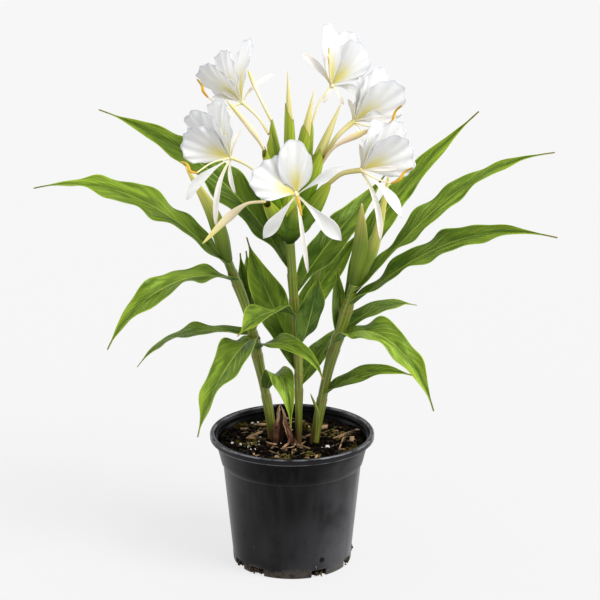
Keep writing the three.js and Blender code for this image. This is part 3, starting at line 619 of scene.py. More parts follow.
def leaf_material(name, deep, pale, midrib, roughness):
    coat = Coat(
        name, roughness, Specular_IOR_Level=0.3, Specular_Tint=(0.7, 1, 0.3, 1),
        Subsurface_Weight=0.3, Subsurface_Scale=0.002, Subsurface_Radius=(0.6, 1, 0.1),
    )
    along, off_middle, across = coat.follow()
    coat.ground(coat.attribute("tone"), deep, pale)
    # Painted shade: the blade is darker towards its root
    coat.wash(deep, coat.falling(along, 0.0, 0.5), 0.45)
    coat.wash(pale, coat.rising(coat.grain(14.0, 3.0), 0.35, 0.7), 0.4)
    # Broad swells of the blade are raised in the relief, and their darker parts are painted shade
    swells_and_shade = coat.streaks(2.0, 3.0, 5.0)
    coat.wash(deep, coat.rising(swells_and_shade, 0.42, 0.62), 0.55)
    # Painted shade: one half of the blade is darker, as if folded away from the light
    coat.wash(deep, coat.rising(across, 0.44, 0.56), 0.34)
    veins = coat.add("ShaderNodeGroup", node_tree=SIDE_VEINS)
    veins.inputs["Count"].default_value = 420.0
    veins.inputs["Lean"].default_value = 95.0
    bands = veins.outputs["Bands"]
    lines = coat.times(veins.outputs["Lines"], coat.falling(along, 0.3, 0.7))
    coat.wash(deep, coat.rising(bands, 0.35, 0.6), 0.38)
    coat.wash(midrib, coat.rising(bands, 0.6, 0.75), 0.35)
    coat.wash(deep, lines, 0.12)
    rib = coat.times(coat.falling(off_middle, 0.02, 0.07), coat.falling(along, 0.4, 0.85))
    coat.wash(midrib, rib, 0.5)
    ripe = coat.scaled(off_middle, 0.35, coat.times(along, 0.75))
    coat.wash(tint(158, 176, 40), coat.rising(ripe, 0.72, 1.0), 0.6)
    coat.wash(midrib, coat.rising(off_middle, 0.93, 1.0), 0.5)
    coat.wash(tint(146, 136, 62), coat.rising(along, 0.93, 0.97))
    coat.wash(tint(150, 124, 92), coat.rising(along, 0.975, 1.0))
    height = coat.times(lines, 0.15)
    for part, share in ((rib, -0.5), (bands, 0.7), (swells_and_shade, 4.0), (off_middle, 2.0)):
        height = coat.scaled(part, share, height)
    return coat.finished(height, MM, 0.8)


def sheath_material(name, root, middle, top, rim, roughness=0.42):
    """A colour that changes from root to top, with streaks and a rim at the mouth, and painted shade on
    pieces of low tone.
    """
    coat = Coat(name, roughness, Specular_IOR_Level=0.2)
    along, _, _ = coat.follow()
    tone = coat.attribute("tone")
    coat.ground(coat.rising(along, 0.0, 0.35), root, middle)
    ripe = coat.scaled(tone, 0.5, coat.maths("ADD", along, -0.25))
    coat.wash(top, coat.rising(ripe, 0.45, 0.95))
    # Painted shade: pieces of low tone are darkened towards the root colour
    coat.wash(root, coat.scaled(tone, -1.4, 0.6))
    streaks = coat.streaks(3.0, 34.0, 2.0)
    coat.wash(root, coat.rising(streaks, 0.4, 0.7), 0.4)
    coat.wash(rim, coat.rising(along, 0.955, 0.995))
    return coat.finished(streaks, 0.0004, 0.6)


def cane_material(name, root, middle, top, joint):
    """Green with lengthwise streaks, a reddish ring below each leaf's mouth and a brown foot."""
    coat = Coat(name, 0.3, Specular_IOR_Level=0.35)
    along, _, _ = coat.follow()
    coat.ground(coat.rising(along, 0.0, 0.35), root, middle)
    coat.wash(top, coat.rising(along, 0.45, 0.95))
    coat.wash(top, coat.rising(coat.grain(26.0, 3.0), 0.35, 0.7), 0.45)
    streaks = coat.streaks(3.0, 30.0, 3.0)
    coat.wash(root, coat.rising(streaks, 0.36, 0.6), 0.65)
    ring = coat.times(coat.attribute("joint"), coat.rising(coat.grain(90.0, 3.0), 0.3, 0.6))
    coat.wash(joint, ring, 0.4)
    ragged = coat.scaled(coat.grain(60.0, 3.0), 0.12, along)
    coat.wash(tint(92, 58, 42), coat.falling(ragged, 0.18, 0.27), 0.8)
    return coat.finished(streaks, 0.0006, 0.6)


def petal_material(name, body_colour, throat_colour, edge_shade_and_vein_colour, throat_reach):
    """Thin white tissue, greyer towards its edge as painted shade, with grey veins, and warmer towards the
    throat.
    """
    coat = Coat(
        name, 0.5, Subsurface_Weight=0.9, Subsurface_Scale=0.0011, Subsurface_Radius=(1, 1, 1),
        Specular_IOR_Level=0.2,
    )
    along, off_middle, _ = coat.follow()
    coat.body = body_colour
    # Painted shade: the petal greys towards its edge and its rim
    coat.wash(edge_shade_and_vein_colour, coat.rising(along, 0.72, 1.0), 0.6)
    coat.wash(tint(182, 184, 190), coat.rising(along, 0.94, 1.0), 0.8)
    streaks = coat.streaks(2.0, 16.0, 1.0)
    coat.wash(edge_shade_and_vein_colour, coat.rising(streaks, 0.45, 0.8), 0.3)
    near_middle = coat.scaled(coat.falling(off_middle, 0.15, 0.85), 0.75, 0.25)
    coat.wash(throat_colour, coat.times(coat.falling(along, 0.12, throat_reach), near_middle))
    return coat.finished(streaks, 0.0006, 0.5)


def toned_material(name, root, middle, tip, other, roughness=0.45):
    """Root, middle and tip colours along a piece, drawn towards another by its tone."""
    coat = Coat(name, roughness, Subsurface_Weight=0.1, Subsurface_Scale=0.002, Specular_IOR_Level=0.35)
    along, _, _ = coat.follow()
    coat.ground(coat.rising(along, 0.05, 0.5), root, middle)
    coat.wash(tip, coat.rising(along, 0.6, 0.95))
    coat.wash(other, coat.attribute("tone"), 0.75)
    streaks = coat.streaks(2.0, 14.0, 1.5)
    coat.wash(root, coat.rising(streaks, 0.45, 0.75), 0.25)
    return coat.finished(streaks, 0.0004, 0.5)


def pot_material(name, roughness, specular, wear_and_sheen_share, painted_edge_highlights=False):
    """Black plastic with dust, upright scuffs and specks, and dirt splashed up its foot; the dust is laid
    thicker down the left side and over the right side as a painted sheen, and lines of painted highlight
    can run along the lip's edges.
    """
    coat = Coat(
        name, roughness, Specular_IOR_Level=specular, Sheen_Weight=0.12 * wear_and_sheen_share, Sheen_Roughness=0.4
    )
    place = coat.place()
    parts = coat.add("ShaderNodeSeparateXYZ", {0: place}).outputs
    sideways, height = parts["X"], parts["Z"]
    coat.ground(coat.rising(coat.grain(30.0, 5.0), 0.3, 0.75), tint(3, 3, 4), tint(12, 12, 14))
    # Dust is laid thicker down the left side and over the right side as a painted sheen, and over the lower
    # middle and right of the body
    left = coat.times(coat.falling(sideways, -0.066, -0.02), coat.rising(height, 0.02, 0.08))
    low = coat.times(coat.falling(height, 0.02, 0.09), coat.rising(sideways, -0.05, -0.02))
    dust_and_sheen = coat.scaled(left, 0.3, coat.times(coat.rising(sideways, 0.0, 0.06), 0.55))
    dust_and_sheen = coat.scaled(low, 0.3, dust_and_sheen)
    dust_and_sheen = coat.times(dust_and_sheen, coat.rising(coat.grain(26.0, 6.0), 0.22, 0.66))
    coat.wash(tint(72, 72, 75), dust_and_sheen, wear_and_sheen_share)
    upright = coat.add("ShaderNodeMapping", {"Vector": place, "Scale": (1.0, 1.0, 0.08)})
    scuffs = coat.rising(coat.grain(90.0, 4.0, upright.outputs["Vector"]), 0.45, 0.75)
    coat.wash(tint(40, 40, 42), scuffs, 0.5 * wear_and_sheen_share)
    coat.wash(tint(120, 118, 114), coat.rising(coat.grain(420.0, 2.0), 0.72, 0.8), 0.35 * wear_and_sheen_share)
    ragged = coat.scaled(coat.grain(60.0, 4.0), -0.012, height)
    splashed = coat.rising(coat.grain(160.0, 5.0), 0.35, 0.6)
    dirt = coat.times(coat.falling(ragged, -0.002, 0.006), splashed)
    coat.wash(tint(88, 78, 66), dirt, 0.55)
    # Painted shade: black spots stand for the shade inside a small hole and a pit
    for spot, size in HOLE_SHADES:
        distance = coat.add("ShaderNodeVectorMath", {0: place, 1: metres(spot)}, operation="DISTANCE")
        uneven = coat.scaled(coat.grain(300.0, 3.0), -0.003, distance.outputs["Value"])
        coat.wash(tint(1, 1, 1), coat.falling(uneven, size * MM * 0.2, size * MM * 0.5))
    # Painted highlight: thin broken pale lines along the lip's top and lower edges
    if painted_edge_highlights:
        broken = coat.rising(coat.grain(50.0, 4.0), 0.4, 0.6)
        for edge in LIP_HIGHLIGHT_HEIGHTS:
            gap = coat.maths("ABSOLUTE", coat.maths("SUBTRACT", height, edge * MM))
            coat.wash(tint(106, 108, 114), coat.times(coat.falling(gap, 0.0002, 0.0009), broken))
    rough = coat.scaled(dirt, 0.4, coat.scaled(scuffs, 0.14 * wear_and_sheen_share, roughness))
    coat.tree.links.new(rough, coat.shader.inputs["Roughness"])
    return coat.finished(coat.grain(700.0, 3.0), 0.0002, 0.25 * wear_and_sheen_share)


def soil_material():
    """Dark crumbs with patches of moss."""
    coat = Coat("potting mix", 0.92, Specular_IOR_Level=0.02)
    coat.ground(coat.rising(coat.grain(240.0, 5.0), 0.4, 0.75), tint(1, 1, 1), tint(34, 25, 16))
    green = coat.blend(
        coat.rising(coat.grain(300.0, 3.0), 0.35, 0.7), tint(14, 15, 4), tint(100, 84, 26)
    )
    coat.wash(green, coat.rising(coat.grain(34.0, 3.0), 0.54, 0.64), 0.8)
    return coat.finished(coat.grain(420.0, 6.0), 0.002, 1.0)


def plain_material(name, low, high, roughness, scale=200.0, depth=0.0005):
    """A dull finish that varies between two colours."""
    coat = Coat(name, roughness, Specular_IOR_Level=0.3)
    spots = coat.grain(scale)
    coat.ground(coat.rising(spots, 0.3, 0.7), low, high)
    return coat.finished(spots, depth, 0.8)


LEAF_FACE = leaf_material("leaf face", tint(34, 62, 10), tint(150, 177, 58), tint(180, 198, 96), 0.38)
LEAF_BACK = leaf_material("leaf back", tint(44, 74, 22), tint(150, 178, 76), tint(184, 202, 108), 0.5)
CANE_SKIN = cane_material(
    "cane", tint(50, 58, 11), tint(154, 164, 64), tint(122, 140, 44), tint(124, 70, 44)
)
ROLLED_SKIN = sheath_material(
    "rolled leaf", tint(86, 108, 32), tint(118, 138, 46), tint(218, 208, 112), tint(232, 222, 170)
)
BRACT_SKIN = sheath_material(
    "bract", tint(38, 58, 8), tint(98, 130, 20), tint(158, 174, 52), tint(146, 140, 56), 0.34
)
SPIKE_SKIN = sheath_material(
    "spike", tint(100, 124, 28), tint(172, 172, 72), tint(236, 224, 160), tint(226, 196, 130)
)
HUSK_SKIN = sheath_material(
    "dried sheath", tint(22, 12, 8), tint(110, 72, 52), tint(196, 160, 124), tint(190, 150, 112), 0.85
)
LOBE_SKIN = petal_material(
    "petal lobe", tint(228, 228, 227), tint(224, 213, 122), tint(216, 217, 220), 0.68
)
# The narrow petals take a greyer copy of the petal white: painted shade
NARROW_SHADED_SKIN = petal_material(
    "narrow petal, painted shade", tint(215, 215, 213), tint(224, 216, 168), tint(214, 212, 212), 0.3
)
STRAP_SKIN = petal_material(
    "petal strap", tint(236, 231, 224), tint(232, 222, 170), tint(226, 207, 202), 0.4
)
TUBE_SKIN = toned_material(
    "flower tube", tint(220, 210, 146), tint(238, 230, 194), tint(240, 228, 160), tint(164, 154, 64)
)
FILAMENT_SKIN = toned_material(
    "filament", tint(244, 226, 150), tint(248, 238, 206), tint(240, 214, 140), tint(248, 238, 206)
)
ANTHER_SKIN = toned_material(
    "anther", tint(214, 160, 40), tint(228, 182, 62), tint(176, 146, 46), tint(240, 232, 184), 0.6
)
BUD_SKIN = toned_material(
    "bud", tint(224, 214, 158), tint(238, 226, 190), tint(216, 210, 108), tint(234, 196, 166)
)
POT_PLASTIC = pot_material("black pot plastic", 0.28, 0.12, 1.0)
# The inside and the neck are darker copies with less gloss, the inside without dust: painted shade inside
# the pot and under the lip
POT_INSIDE_SHADED = pot_material("black pot plastic inside, painted shade", 0.24, 0.05, 0.0)
POT_LIP = pot_material("black pot plastic lip", 0.2, 0.2, 0.3, painted_edge_highlights=True)
POT_NECK_SHADED = pot_material("black pot plastic neck, painted shade", 0.3, 0.05, 0.9)
SOIL_MIX = soil_material()
BARK = plain_material("bark chip", tint(44, 30, 20), tint(172, 138, 102), 0.85, 90.0)
CRUMBS = plain_material("dark crumbs", tint(2, 2, 2), tint(36, 26, 18), 0.95)
CLODS = plain_material("clods", tint(10, 7, 5), tint(70, 54, 38), 0.95, 300.0, 0.001)
PERLITE = plain_material("perlite", tint(206, 202, 192), tint(240, 238, 232), 0.9)
MOSS = plain_material("moss", tint(20, 20, 5), tint(108, 92, 30), 0.95, 500.0, 0.001)


# Pot: a circle drawn up ring by ring, over the lip and down the inside

def pot_profile():
    neck_foot = SHOULDER_HEIGHT + 5
    return [
        (FOOT_RADIUS - 1, 0), (FOOT_RADIUS, 1), (FOOT_RADIUS + 0.6, 9), (FOOT_RADIUS + 0.5, 10),
        (BODY_TOP_RADIUS, SHOULDER_HEIGHT - 3.4), (BODY_TOP_RADIUS + 0.2, SHOULDER_HEIGHT - 1.6),
        (SHOULDER_RADIUS, SHOULDER_HEIGHT), (SHOULDER_RADIUS + 1.2, neck_foot),
        (NECK_RADIUS - 1.4, POT_HEIGHT - LIP_DROP - 3), (NECK_RADIUS, POT_HEIGHT - LIP_DROP),
        (RIM_RADIUS - 1, POT_HEIGHT - LIP_DROP), (RIM_RADIUS, POT_HEIGHT - LIP_DROP + 1),
        (RIM_RADIUS, POT_HEIGHT - 2), (RIM_RADIUS - 1, POT_HEIGHT - 0.4), (RIM_RADIUS - 2.4, POT_HEIGHT),
        (RIM_RADIUS - 4, POT_HEIGHT - 0.6), (RIM_RADIUS - 5, POT_HEIGHT - 2.4),
        (RIM_RADIUS - 6, POT_HEIGHT - 4.6), (RIM_RADIUS - 7.2, POT_HEIGHT - 5),
        (NECK_RADIUS - WALL - 0.3, POT_HEIGHT - 7.6), (NECK_RADIUS - WALL - 0.9, POT_HEIGHT - 8),
        (SHOULDER_RADIUS - WALL + 1, neck_foot), (BODY_TOP_RADIUS - WALL, SHOULDER_HEIGHT),
        (FOOT_RADIUS - WALL, FLOOR_THICKNESS),
    ]


def make_pot():
    pick_nothing()
    profile = pot_profile()
    radius, height = profile[0]
    bpy.ops.mesh.primitive_circle_add(
        vertices=POT_SEGMENTS, radius=radius * MM, fill_type="NGON", location=(0, 0, height * MM)
    )
    pot = bpy.context.object
    pot.name = pot.data.name = "nursery_pot"
    bpy.ops.object.transform_apply(location=True, rotation=True, scale=True)
    bpy.ops.object.mode_set(mode="EDIT")
    bpy.ops.mesh.select_all(action="SELECT")
    for next_radius, next_height in profile[1:]:
        bpy.ops.mesh.extrude_region_move(
            TRANSFORM_OT_translate={"value": (0, 0, (next_height - height) * MM)}
        )
        scale = next_radius / radius
        bpy.ops.transform.resize(value=(scale, scale, 1), center_override=(0, 0, next_height * MM))
        radius, height = next_radius, next_height
    bpy.ops.mesh.select_all(action="SELECT")
    bpy.ops.mesh.normals_make_consistent(inside=False)
    bpy.ops.object.mode_set(mode="OBJECT")
    for bearing in SLOT_BEARINGS:
        cut_slot(pot, bearing)
    finish_modifier(
        pot, "BEVEL", width=0.35 * MM, segments=2, limit_method="ANGLE", angle_limit=math.radians(34)
    )
    smooth(pot, 40)
    wear(pot, POT_PLASTIC, POT_INSIDE_SHADED, POT_LIP, POT_NECK_SHADED)
    for face in pot.data.polygons:
        face.material_index = pot_finish(face.center / MM, face.normal)
    return pot


def pot_finish(spot, facing):
    """0 for the body, 1 for the inside, 2 for the lip and 3 for the neck; the inside and the neck take
    darker copies of the plastic as painted shade.
    """
    radius = math.hypot(spot.x, spot.y)
    if spot.z > POT_HEIGHT - LIP_DROP - 0.3 and radius > RIM_RADIUS - 5.5:
        return 2
    if facing.x * spot.x + facing.y * spot.y < -0.2 * radius and spot.z > SOIL_LEVEL * 0.9:
        return 1
    return 3 if spot.z > SHOULDER_HEIGHT + 0.5 and radius > SHOULDER_RADIUS else 0


def cut_slot(pot, bearing):
    """A drainage slot through the corner of the wall and the floor."""
    pick_nothing()
    bpy.ops.mesh.primitive_cube_add(size=1, location=(0, -FOOT_RADIUS * MM, 0))
    cutter = bpy.context.object
    cutter.scale = (SLOT_WIDTH * MM, SLOT_DEPTH * MM, SLOT_HEIGHT * 2 * MM)
    bpy.ops.object.transform_apply(location=True, rotation=True, scale=True)
    cutter.data.transform(Matrix.Rotation(math.radians(bearing), 4, "Z"))
    finish_modifier(pot, "BOOLEAN", operation="DIFFERENCE", object=cutter, solver="EXACT")
    bpy.data.objects.remove(cutter)


# Soil: a lumpy filling with chips, perlite and moss lying on it

def soil_height(x, y):
    lumps = 1.3 * math.sin(x * 0.19 + 1) * math.cos(y * 0.23) + 0.8 * math.sin(x * 0.41 - y * 0.37)
    crumbs = noise.noise(Vector((x, y, 3)) * 0.16) * 2.2 + noise.noise(Vector((x, y, 7)) * 0.5) * 1.1
    return SOIL_LEVEL + lumps + crumbs


def polar(radius, angle):
    return radius * math.cos(angle), radius * math.sin(angle)


def make_soil():
    """From the middle of the top out to the wall, down the wall and in to the middle again."""
    edge = SHOULDER_RADIUS - WALL + 4.3
    foot = FOOT_RADIUS - WALL - 0.6
    floor = FLOOR_THICKNESS + 0.4
    corners = [
        (0.8, edge, SOIL_LEVEL - 1), (0.84, SHOULDER_RADIUS - WALL, SHOULDER_HEIGHT + 5),
        (0.88, BODY_TOP_RADIUS - WALL - 0.6, SHOULDER_HEIGHT), (0.96, foot, floor), (1.0, 0, floor),
    ]

    def place(u, v):
        angle = math.tau * u
        if v < corners[0][0]:
            x, y = polar(edge * v / corners[0][0], angle)
            return Vector((x, y, soil_height(x, y)))
        for (v0, r0, z0), (v1, r1, z1) in zip(corners, corners[1:]):
            if v <= v1 + 1e-6:
                share = (v - v0) / (v1 - v0)
                return Vector((*polar(mixed(r0, r1, share), angle), mixed(z0, z1, share)))

    filling = laid_grid("soil_filling", 96, 100, place)
    close_up(filling)
    smooth(filling)
    wear(filling, SOIL_MIX)
    return filling


def in_a_cane(x, y):
    return any(math.hypot(x - fx, y - fy) < CANE_CLEARANCE for fx, fy in CANE_FEET)


def scattered(draw, reach=66):
    while True:
        angle = draw.uniform(0, math.tau)
        x, y = polar(reach * math.sqrt(draw.random()), angle)
        if not in_a_cane(x, y):
            return x, y


def plain_lumps():
    """One block, one rough ball and one finer ball, which every lump is a copy of."""
    pick_nothing()
    bpy.ops.mesh.primitive_cube_add(size=1)
    block = bpy.context.object
    bpy.ops.mesh.primitive_ico_sphere_add(subdivisions=1, radius=0.5)
    ball = bpy.context.object
    bpy.ops.mesh.primitive_ico_sphere_add(subdivisions=2, radius=0.5)
    return {"block": block, "ball": ball, "fine ball": bpy.context.object}


def make_litter():
    """Bark chips, twigs, crumbs, perlite, moss and clods, each kind as one piece, with dark crumbs heaped
    inside each drainage slot as painted shade.
    """
    draw = random.Random(11)
    patterns = plain_lumps()
    finishes = {"bark": BARK, "crumbs": CRUMBS, "perlite": PERLITE, "moss": MOSS, "clods": CLODS}
    kinds = {kind: [] for kind in finishes}

    def lay(kind, spot, size, shape="ball", bearing=None):
        """Lays one uneven lump on the soil, or at its own height if the spot has one."""
        x, y = spot[:2]
        height = spot[2] if len(spot) == 3 else soil_height(x, y) + size[2] * 0.25
        pattern = patterns["fine ball" if kind == "moss" else shape]
        lump = bpy.data.objects.new("soil_lump", pattern.data.copy())
        bpy.context.scene.collection.objects.link(lump)
        for vertex in lump.data.vertices:
            vertex.co *= 1 + 0.5 * (draw.random() - 0.5)
        bearing = draw.uniform(0, math.pi) if bearing is None else bearing
        turn = Matrix.Rotation(bearing, 4, "Z") @ Matrix.Rotation(draw.uniform(-0.2, 0.2), 4, "Y")
        grow = Matrix.Diagonal((*(side * MM for side in size), 1))
        lump.data.transform(Matrix.Translation(metres((x, y, height))) @ turn @ grow)
        kinds[kind].append(lump)

    for x, y, length, thickness, turn in TWIGS:
        lay("bark", (x, y), (length, thickness, thickness * 0.7), "block", math.radians(turn))
    for number in range(CHIP_COUNT):
        spot = scattered(draw)
        size = draw.uniform(3, 4.4) if number < LARGE_CHIPS else draw.uniform(0.8, 2.2)
        lay("bark", spot, (size * draw.uniform(1.6, 3.6), size, size * 0.35), "block")
    for _ in range(SPLINTER_COUNT):
        spot = scattered(draw, 60)
        lay("bark", spot, (draw.uniform(6, 14), 0.9, 0.9), "block")
    for _ in range(CRUMB_COUNT):
        spot = scattered(draw, 69)
        size = draw.uniform(1.2, 3.6)
        lay("crumbs", spot, (size * 1.3, size, size * 0.8))
    small_grains = [(*scattered(draw), draw.uniform(0.8, 2)) for _ in range(SMALL_GRAINS)]
    for x, y, size in PERLITE_GRAINS + small_grains:
        lay("perlite", (x, y), (size * 1.2, size, size * 0.9))
    for spot_x, spot_y, spread, number in MOSS_MOUNDS:
        for _ in range(number):
            x, y = draw.gauss(spot_x, spread / 2), draw.gauss(spot_y, spread / 2)
            if math.hypot(x, y) < 68 and not in_a_cane(x, y):
                size = draw.uniform(1.6, 4.2)
                lay("moss", (x, y), (size, size, size * 0.5))
    heaps = [(*row, -2.5, 1.2) for row in CLOD_HEAPS]
    # Dark crumbs fill every drainage slot: painted shade that hides the bright floor seen through them
    heaps += [("crumbs", bearing, 1.5, SLOT_WIDTH * 0.6, 30, 4.4, -11, -4) for bearing in SLOT_BEARINGS]
    for kind, bearing, height, spread, number, size, innermost, outermost in heaps:
        for _ in range(number):
            turn = math.radians(bearing) + draw.gauss(0, spread / 2) / FOOT_RADIUS
            radius = FOOT_RADIUS + draw.uniform(innermost, outermost)
            level = max(size * 0.5, draw.gauss(height, 1.6))
            grown = size * draw.uniform(0.5, 1.1)
            spot = (radius * math.sin(turn), -radius * math.cos(turn), level)
            lay(kind, spot, (grown * 1.2, grown, grown))
    for pattern in patterns.values():
        bpy.data.objects.remove(pattern)
    return [finished_pile(kind, kinds[kind], finish) for kind, finish in finishes.items()]


def finished_pile(kind, lumps, finish):
    pile = joined("soil_" + kind, lumps)
    wear(pile, finish)
    smooth(pile, 30)
    return pile


# Canes: a round stem that thickens up to the mouth of each leaf's sheath

def cane_spot(cane, height):
    spot, _ = smooth_route(CANES[cane][0])
    low, high = 0.0, 1.0
    for _ in range(30):
        middle = (low + high) / 2
        if spot(middle).z < height:
            low = middle
        else:
            high = middle
    return spot(low)


def make_cane(cane):
    route, root_radius, top_radius = CANES[cane]
    spot, _ = smooth_route(route)
    mouths = sorted(row[1] for row in LEAVES.values() if row[0] == cane)

    def radius_at(t):
        height = spot(t).z
        radius = mixed(root_radius, top_radius, t) - 0.1
        for mouth in mouths:
            below = mouth - height
            if 0 <= below < SHEATH_LENGTH:
                radius += SHEATH_STEP * (1 - below / SHEATH_LENGTH) ** 1.5
        foot = max(0, (CANE_FOOT_TOP - height) / CANE_FOOT_LENGTH)
        return radius + CANE_FOOT_SWELL * foot ** 2

    stem = wrapped("stem_" + cane, route, radius_at, 20, 90)
    rings = [
        max(math.exp(-((vertex.co.z / MM - mouth + 2) / 1.6) ** 2) for mouth in mouths)
        for vertex in stem.data.vertices
    ]
    stem.data.attributes.new("joint", "FLOAT", "POINT").data.foreach_set("value", rings)
    wear(stem, CANE_SKIN)
    return stem


# Leaves

def leaf_half_width(t, width, widest):
    if t < widest:
        edge, swell = LEAF_ROOT_HALF, math.sin(math.pi / 2 * t / widest) ** 0.9
    else:
        share = min(1, (t - widest) / (LEAF_TAIL_START - widest))
        edge, swell = LEAF_TAIL_HALF, (1 - share ** 2) ** 1.2
    return edge + (width / 2 - edge) * swell


def slope_vector(bearing, slope):
    flat = math.cos(math.radians(slope))
    return Vector((flat * math.cos(bearing), flat * math.sin(bearing), math.sin(math.radians(slope))))


def make_leaf(name, index):
    cane, height, tip, lift, end, width, roll, tone, more = LEAVES[name]
    root, tip = cane_spot(cane, height), Vector(tip)
    swing = math.radians(more.get("swing", 0))
    bearing = math.atan2(tip.y - root.y, tip.x - root.x)
    reach = (tip - root).length * LEAF_HANDLE * more.get("arch", 1)
    spot, heading = bow(
        root, root + slope_vector(bearing + swing, lift) * reach,
        tip - slope_vector(bearing, end) * reach, tip,
    )
    length = sum((spot((i + 1) / 40) - spot(i / 40)).length for i in range(40))
    draw = random.Random(40 + index)
    phases = [draw.uniform(0, math.tau) for _ in range(6)]
    waves = math.tau * length / WAVE_LENGTH

    def place(u, v):
        w = 2 * u - 1
        along = heading(v)
        turned = bearing + swing * max(0, 1 - 2 * v)
        level = Vector((-math.sin(turned), math.cos(turned), 0))
        level = (level - along * level.dot(along)).normalized()
        up = along.cross(level).normalized()
        tilt = math.radians(roll + LEAF_SWAY * math.sin(waves * 0.5 * v + phases[4])) * min(1, v * 2.5)
        side = level * math.cos(tilt) + up * math.sin(tilt)
        normal = up * math.cos(tilt) - level * math.sin(tilt)
        edge, near = abs(w), w > 0
        half = leaf_half_width(v, width, more.get("widest", LEAF_WIDEST))
        half *= 1 + 0.05 * edge * math.sin(waves * 1.3 * v + phases[5] + 2 * near)
        ripple = math.sin(waves * v + phases[near])
        small = 0.5 * math.sin(waves * 1.8 * v + phases[2 + near])
        clasp = LEAF_CLASP * math.exp(-v * 16)
        rib = -RIB_DEPTH * math.exp(-(w * half / RIB_HALF) ** 2)
        lift_here = half * ((LEAF_FOLD + clasp) * edge + WAVE_HEIGHT * (ripple + small) * edge ** 2) + rib
        return spot(v) + side * (w * half) + normal * lift_here

    blade = laid_grid("blade_" + name, 12, max(26, int(length / 4.5)), place, tone)
    wear(blade, LEAF_BACK, LEAF_FACE)
    return thickened(blade, LEAF_SHEET, material_offset=1)


# Flower head

def make_head():
    route, radius, fat, mouth = HEAD_CORE
    pieces = [wrapped("head_core", route, swelling(radius, fat, 4.9, mouth), 24, 24)]
    wear(pieces[0], BRACT_SKIN)
    for index, (route, radius, fat, mouth) in enumerate(BRACTS):
        bract = rolled_sheet(
            "bract", route, swelling(radius, fat, 3.5, mouth + 0.3), 1.18, 0.9 * index,
            slant=0.16, twist=0.5,
        )
        wear(bract, BRACT_SKIN)
        pieces.append(bract)
    for index, (route, radius, fat, mouth, covered) in enumerate(SPIKES):
        body = swelling(radius, fat, 3.5, mouth)
        spike = wrapped("spike", route, lambda t: body(t) - 0.6, 14, 30)
        wear(spike, SPIKE_SKIN)
        cover = rolled_sheet(
            "spike_cover", route, body, 1.3, 1.2 + 0.7 * index, reach=(0, covered), slant=0.12, twist=0.6,
        )
        wear(cover, BRACT_SKIN)
        pieces += [spike, cover]
    for index, bearing in enumerate((-100, -28, -168, 60, 140)):
        scale = head_scale(math.radians(bearing), index)
        wear(scale, BRACT_SKIN)
        pieces.append(scale)
    return joined("head_of_bracts", pieces)


def head_scale(bearing, index):
    """A broad pointed bract that hugs the foot of the head."""
    route, radius, fat, mouth = HEAD_CORE
    spot, _ = smooth_route(route)
    body = swelling(radius + 0.9 + 0.25 * index, fat, 5.4, mouth)
    spread = math.radians(74)

    def place(u, v):
        w = 2 * u - 1
        width = math.sin(math.pi * min(1, 0.22 + 0.78 * v) ** 1.3) ** 0.6 if v < 1 else 0.02
        angle = bearing + spread * w * max(0.03, width)
        t = 0.04 + 0.72 * v
        lean = 1 + 0.1 * v ** 3
        return spot(t) + Vector((*polar(1, angle), 0)) * (body(t) * lean)

    # The first scale is pale; the others take a low tone, which their material darkens as painted shade
    return thickened(laid_grid("head_scale", 14, 20, place, 0.9 if index == 0 else 0.2), 0.7)


# Blooms

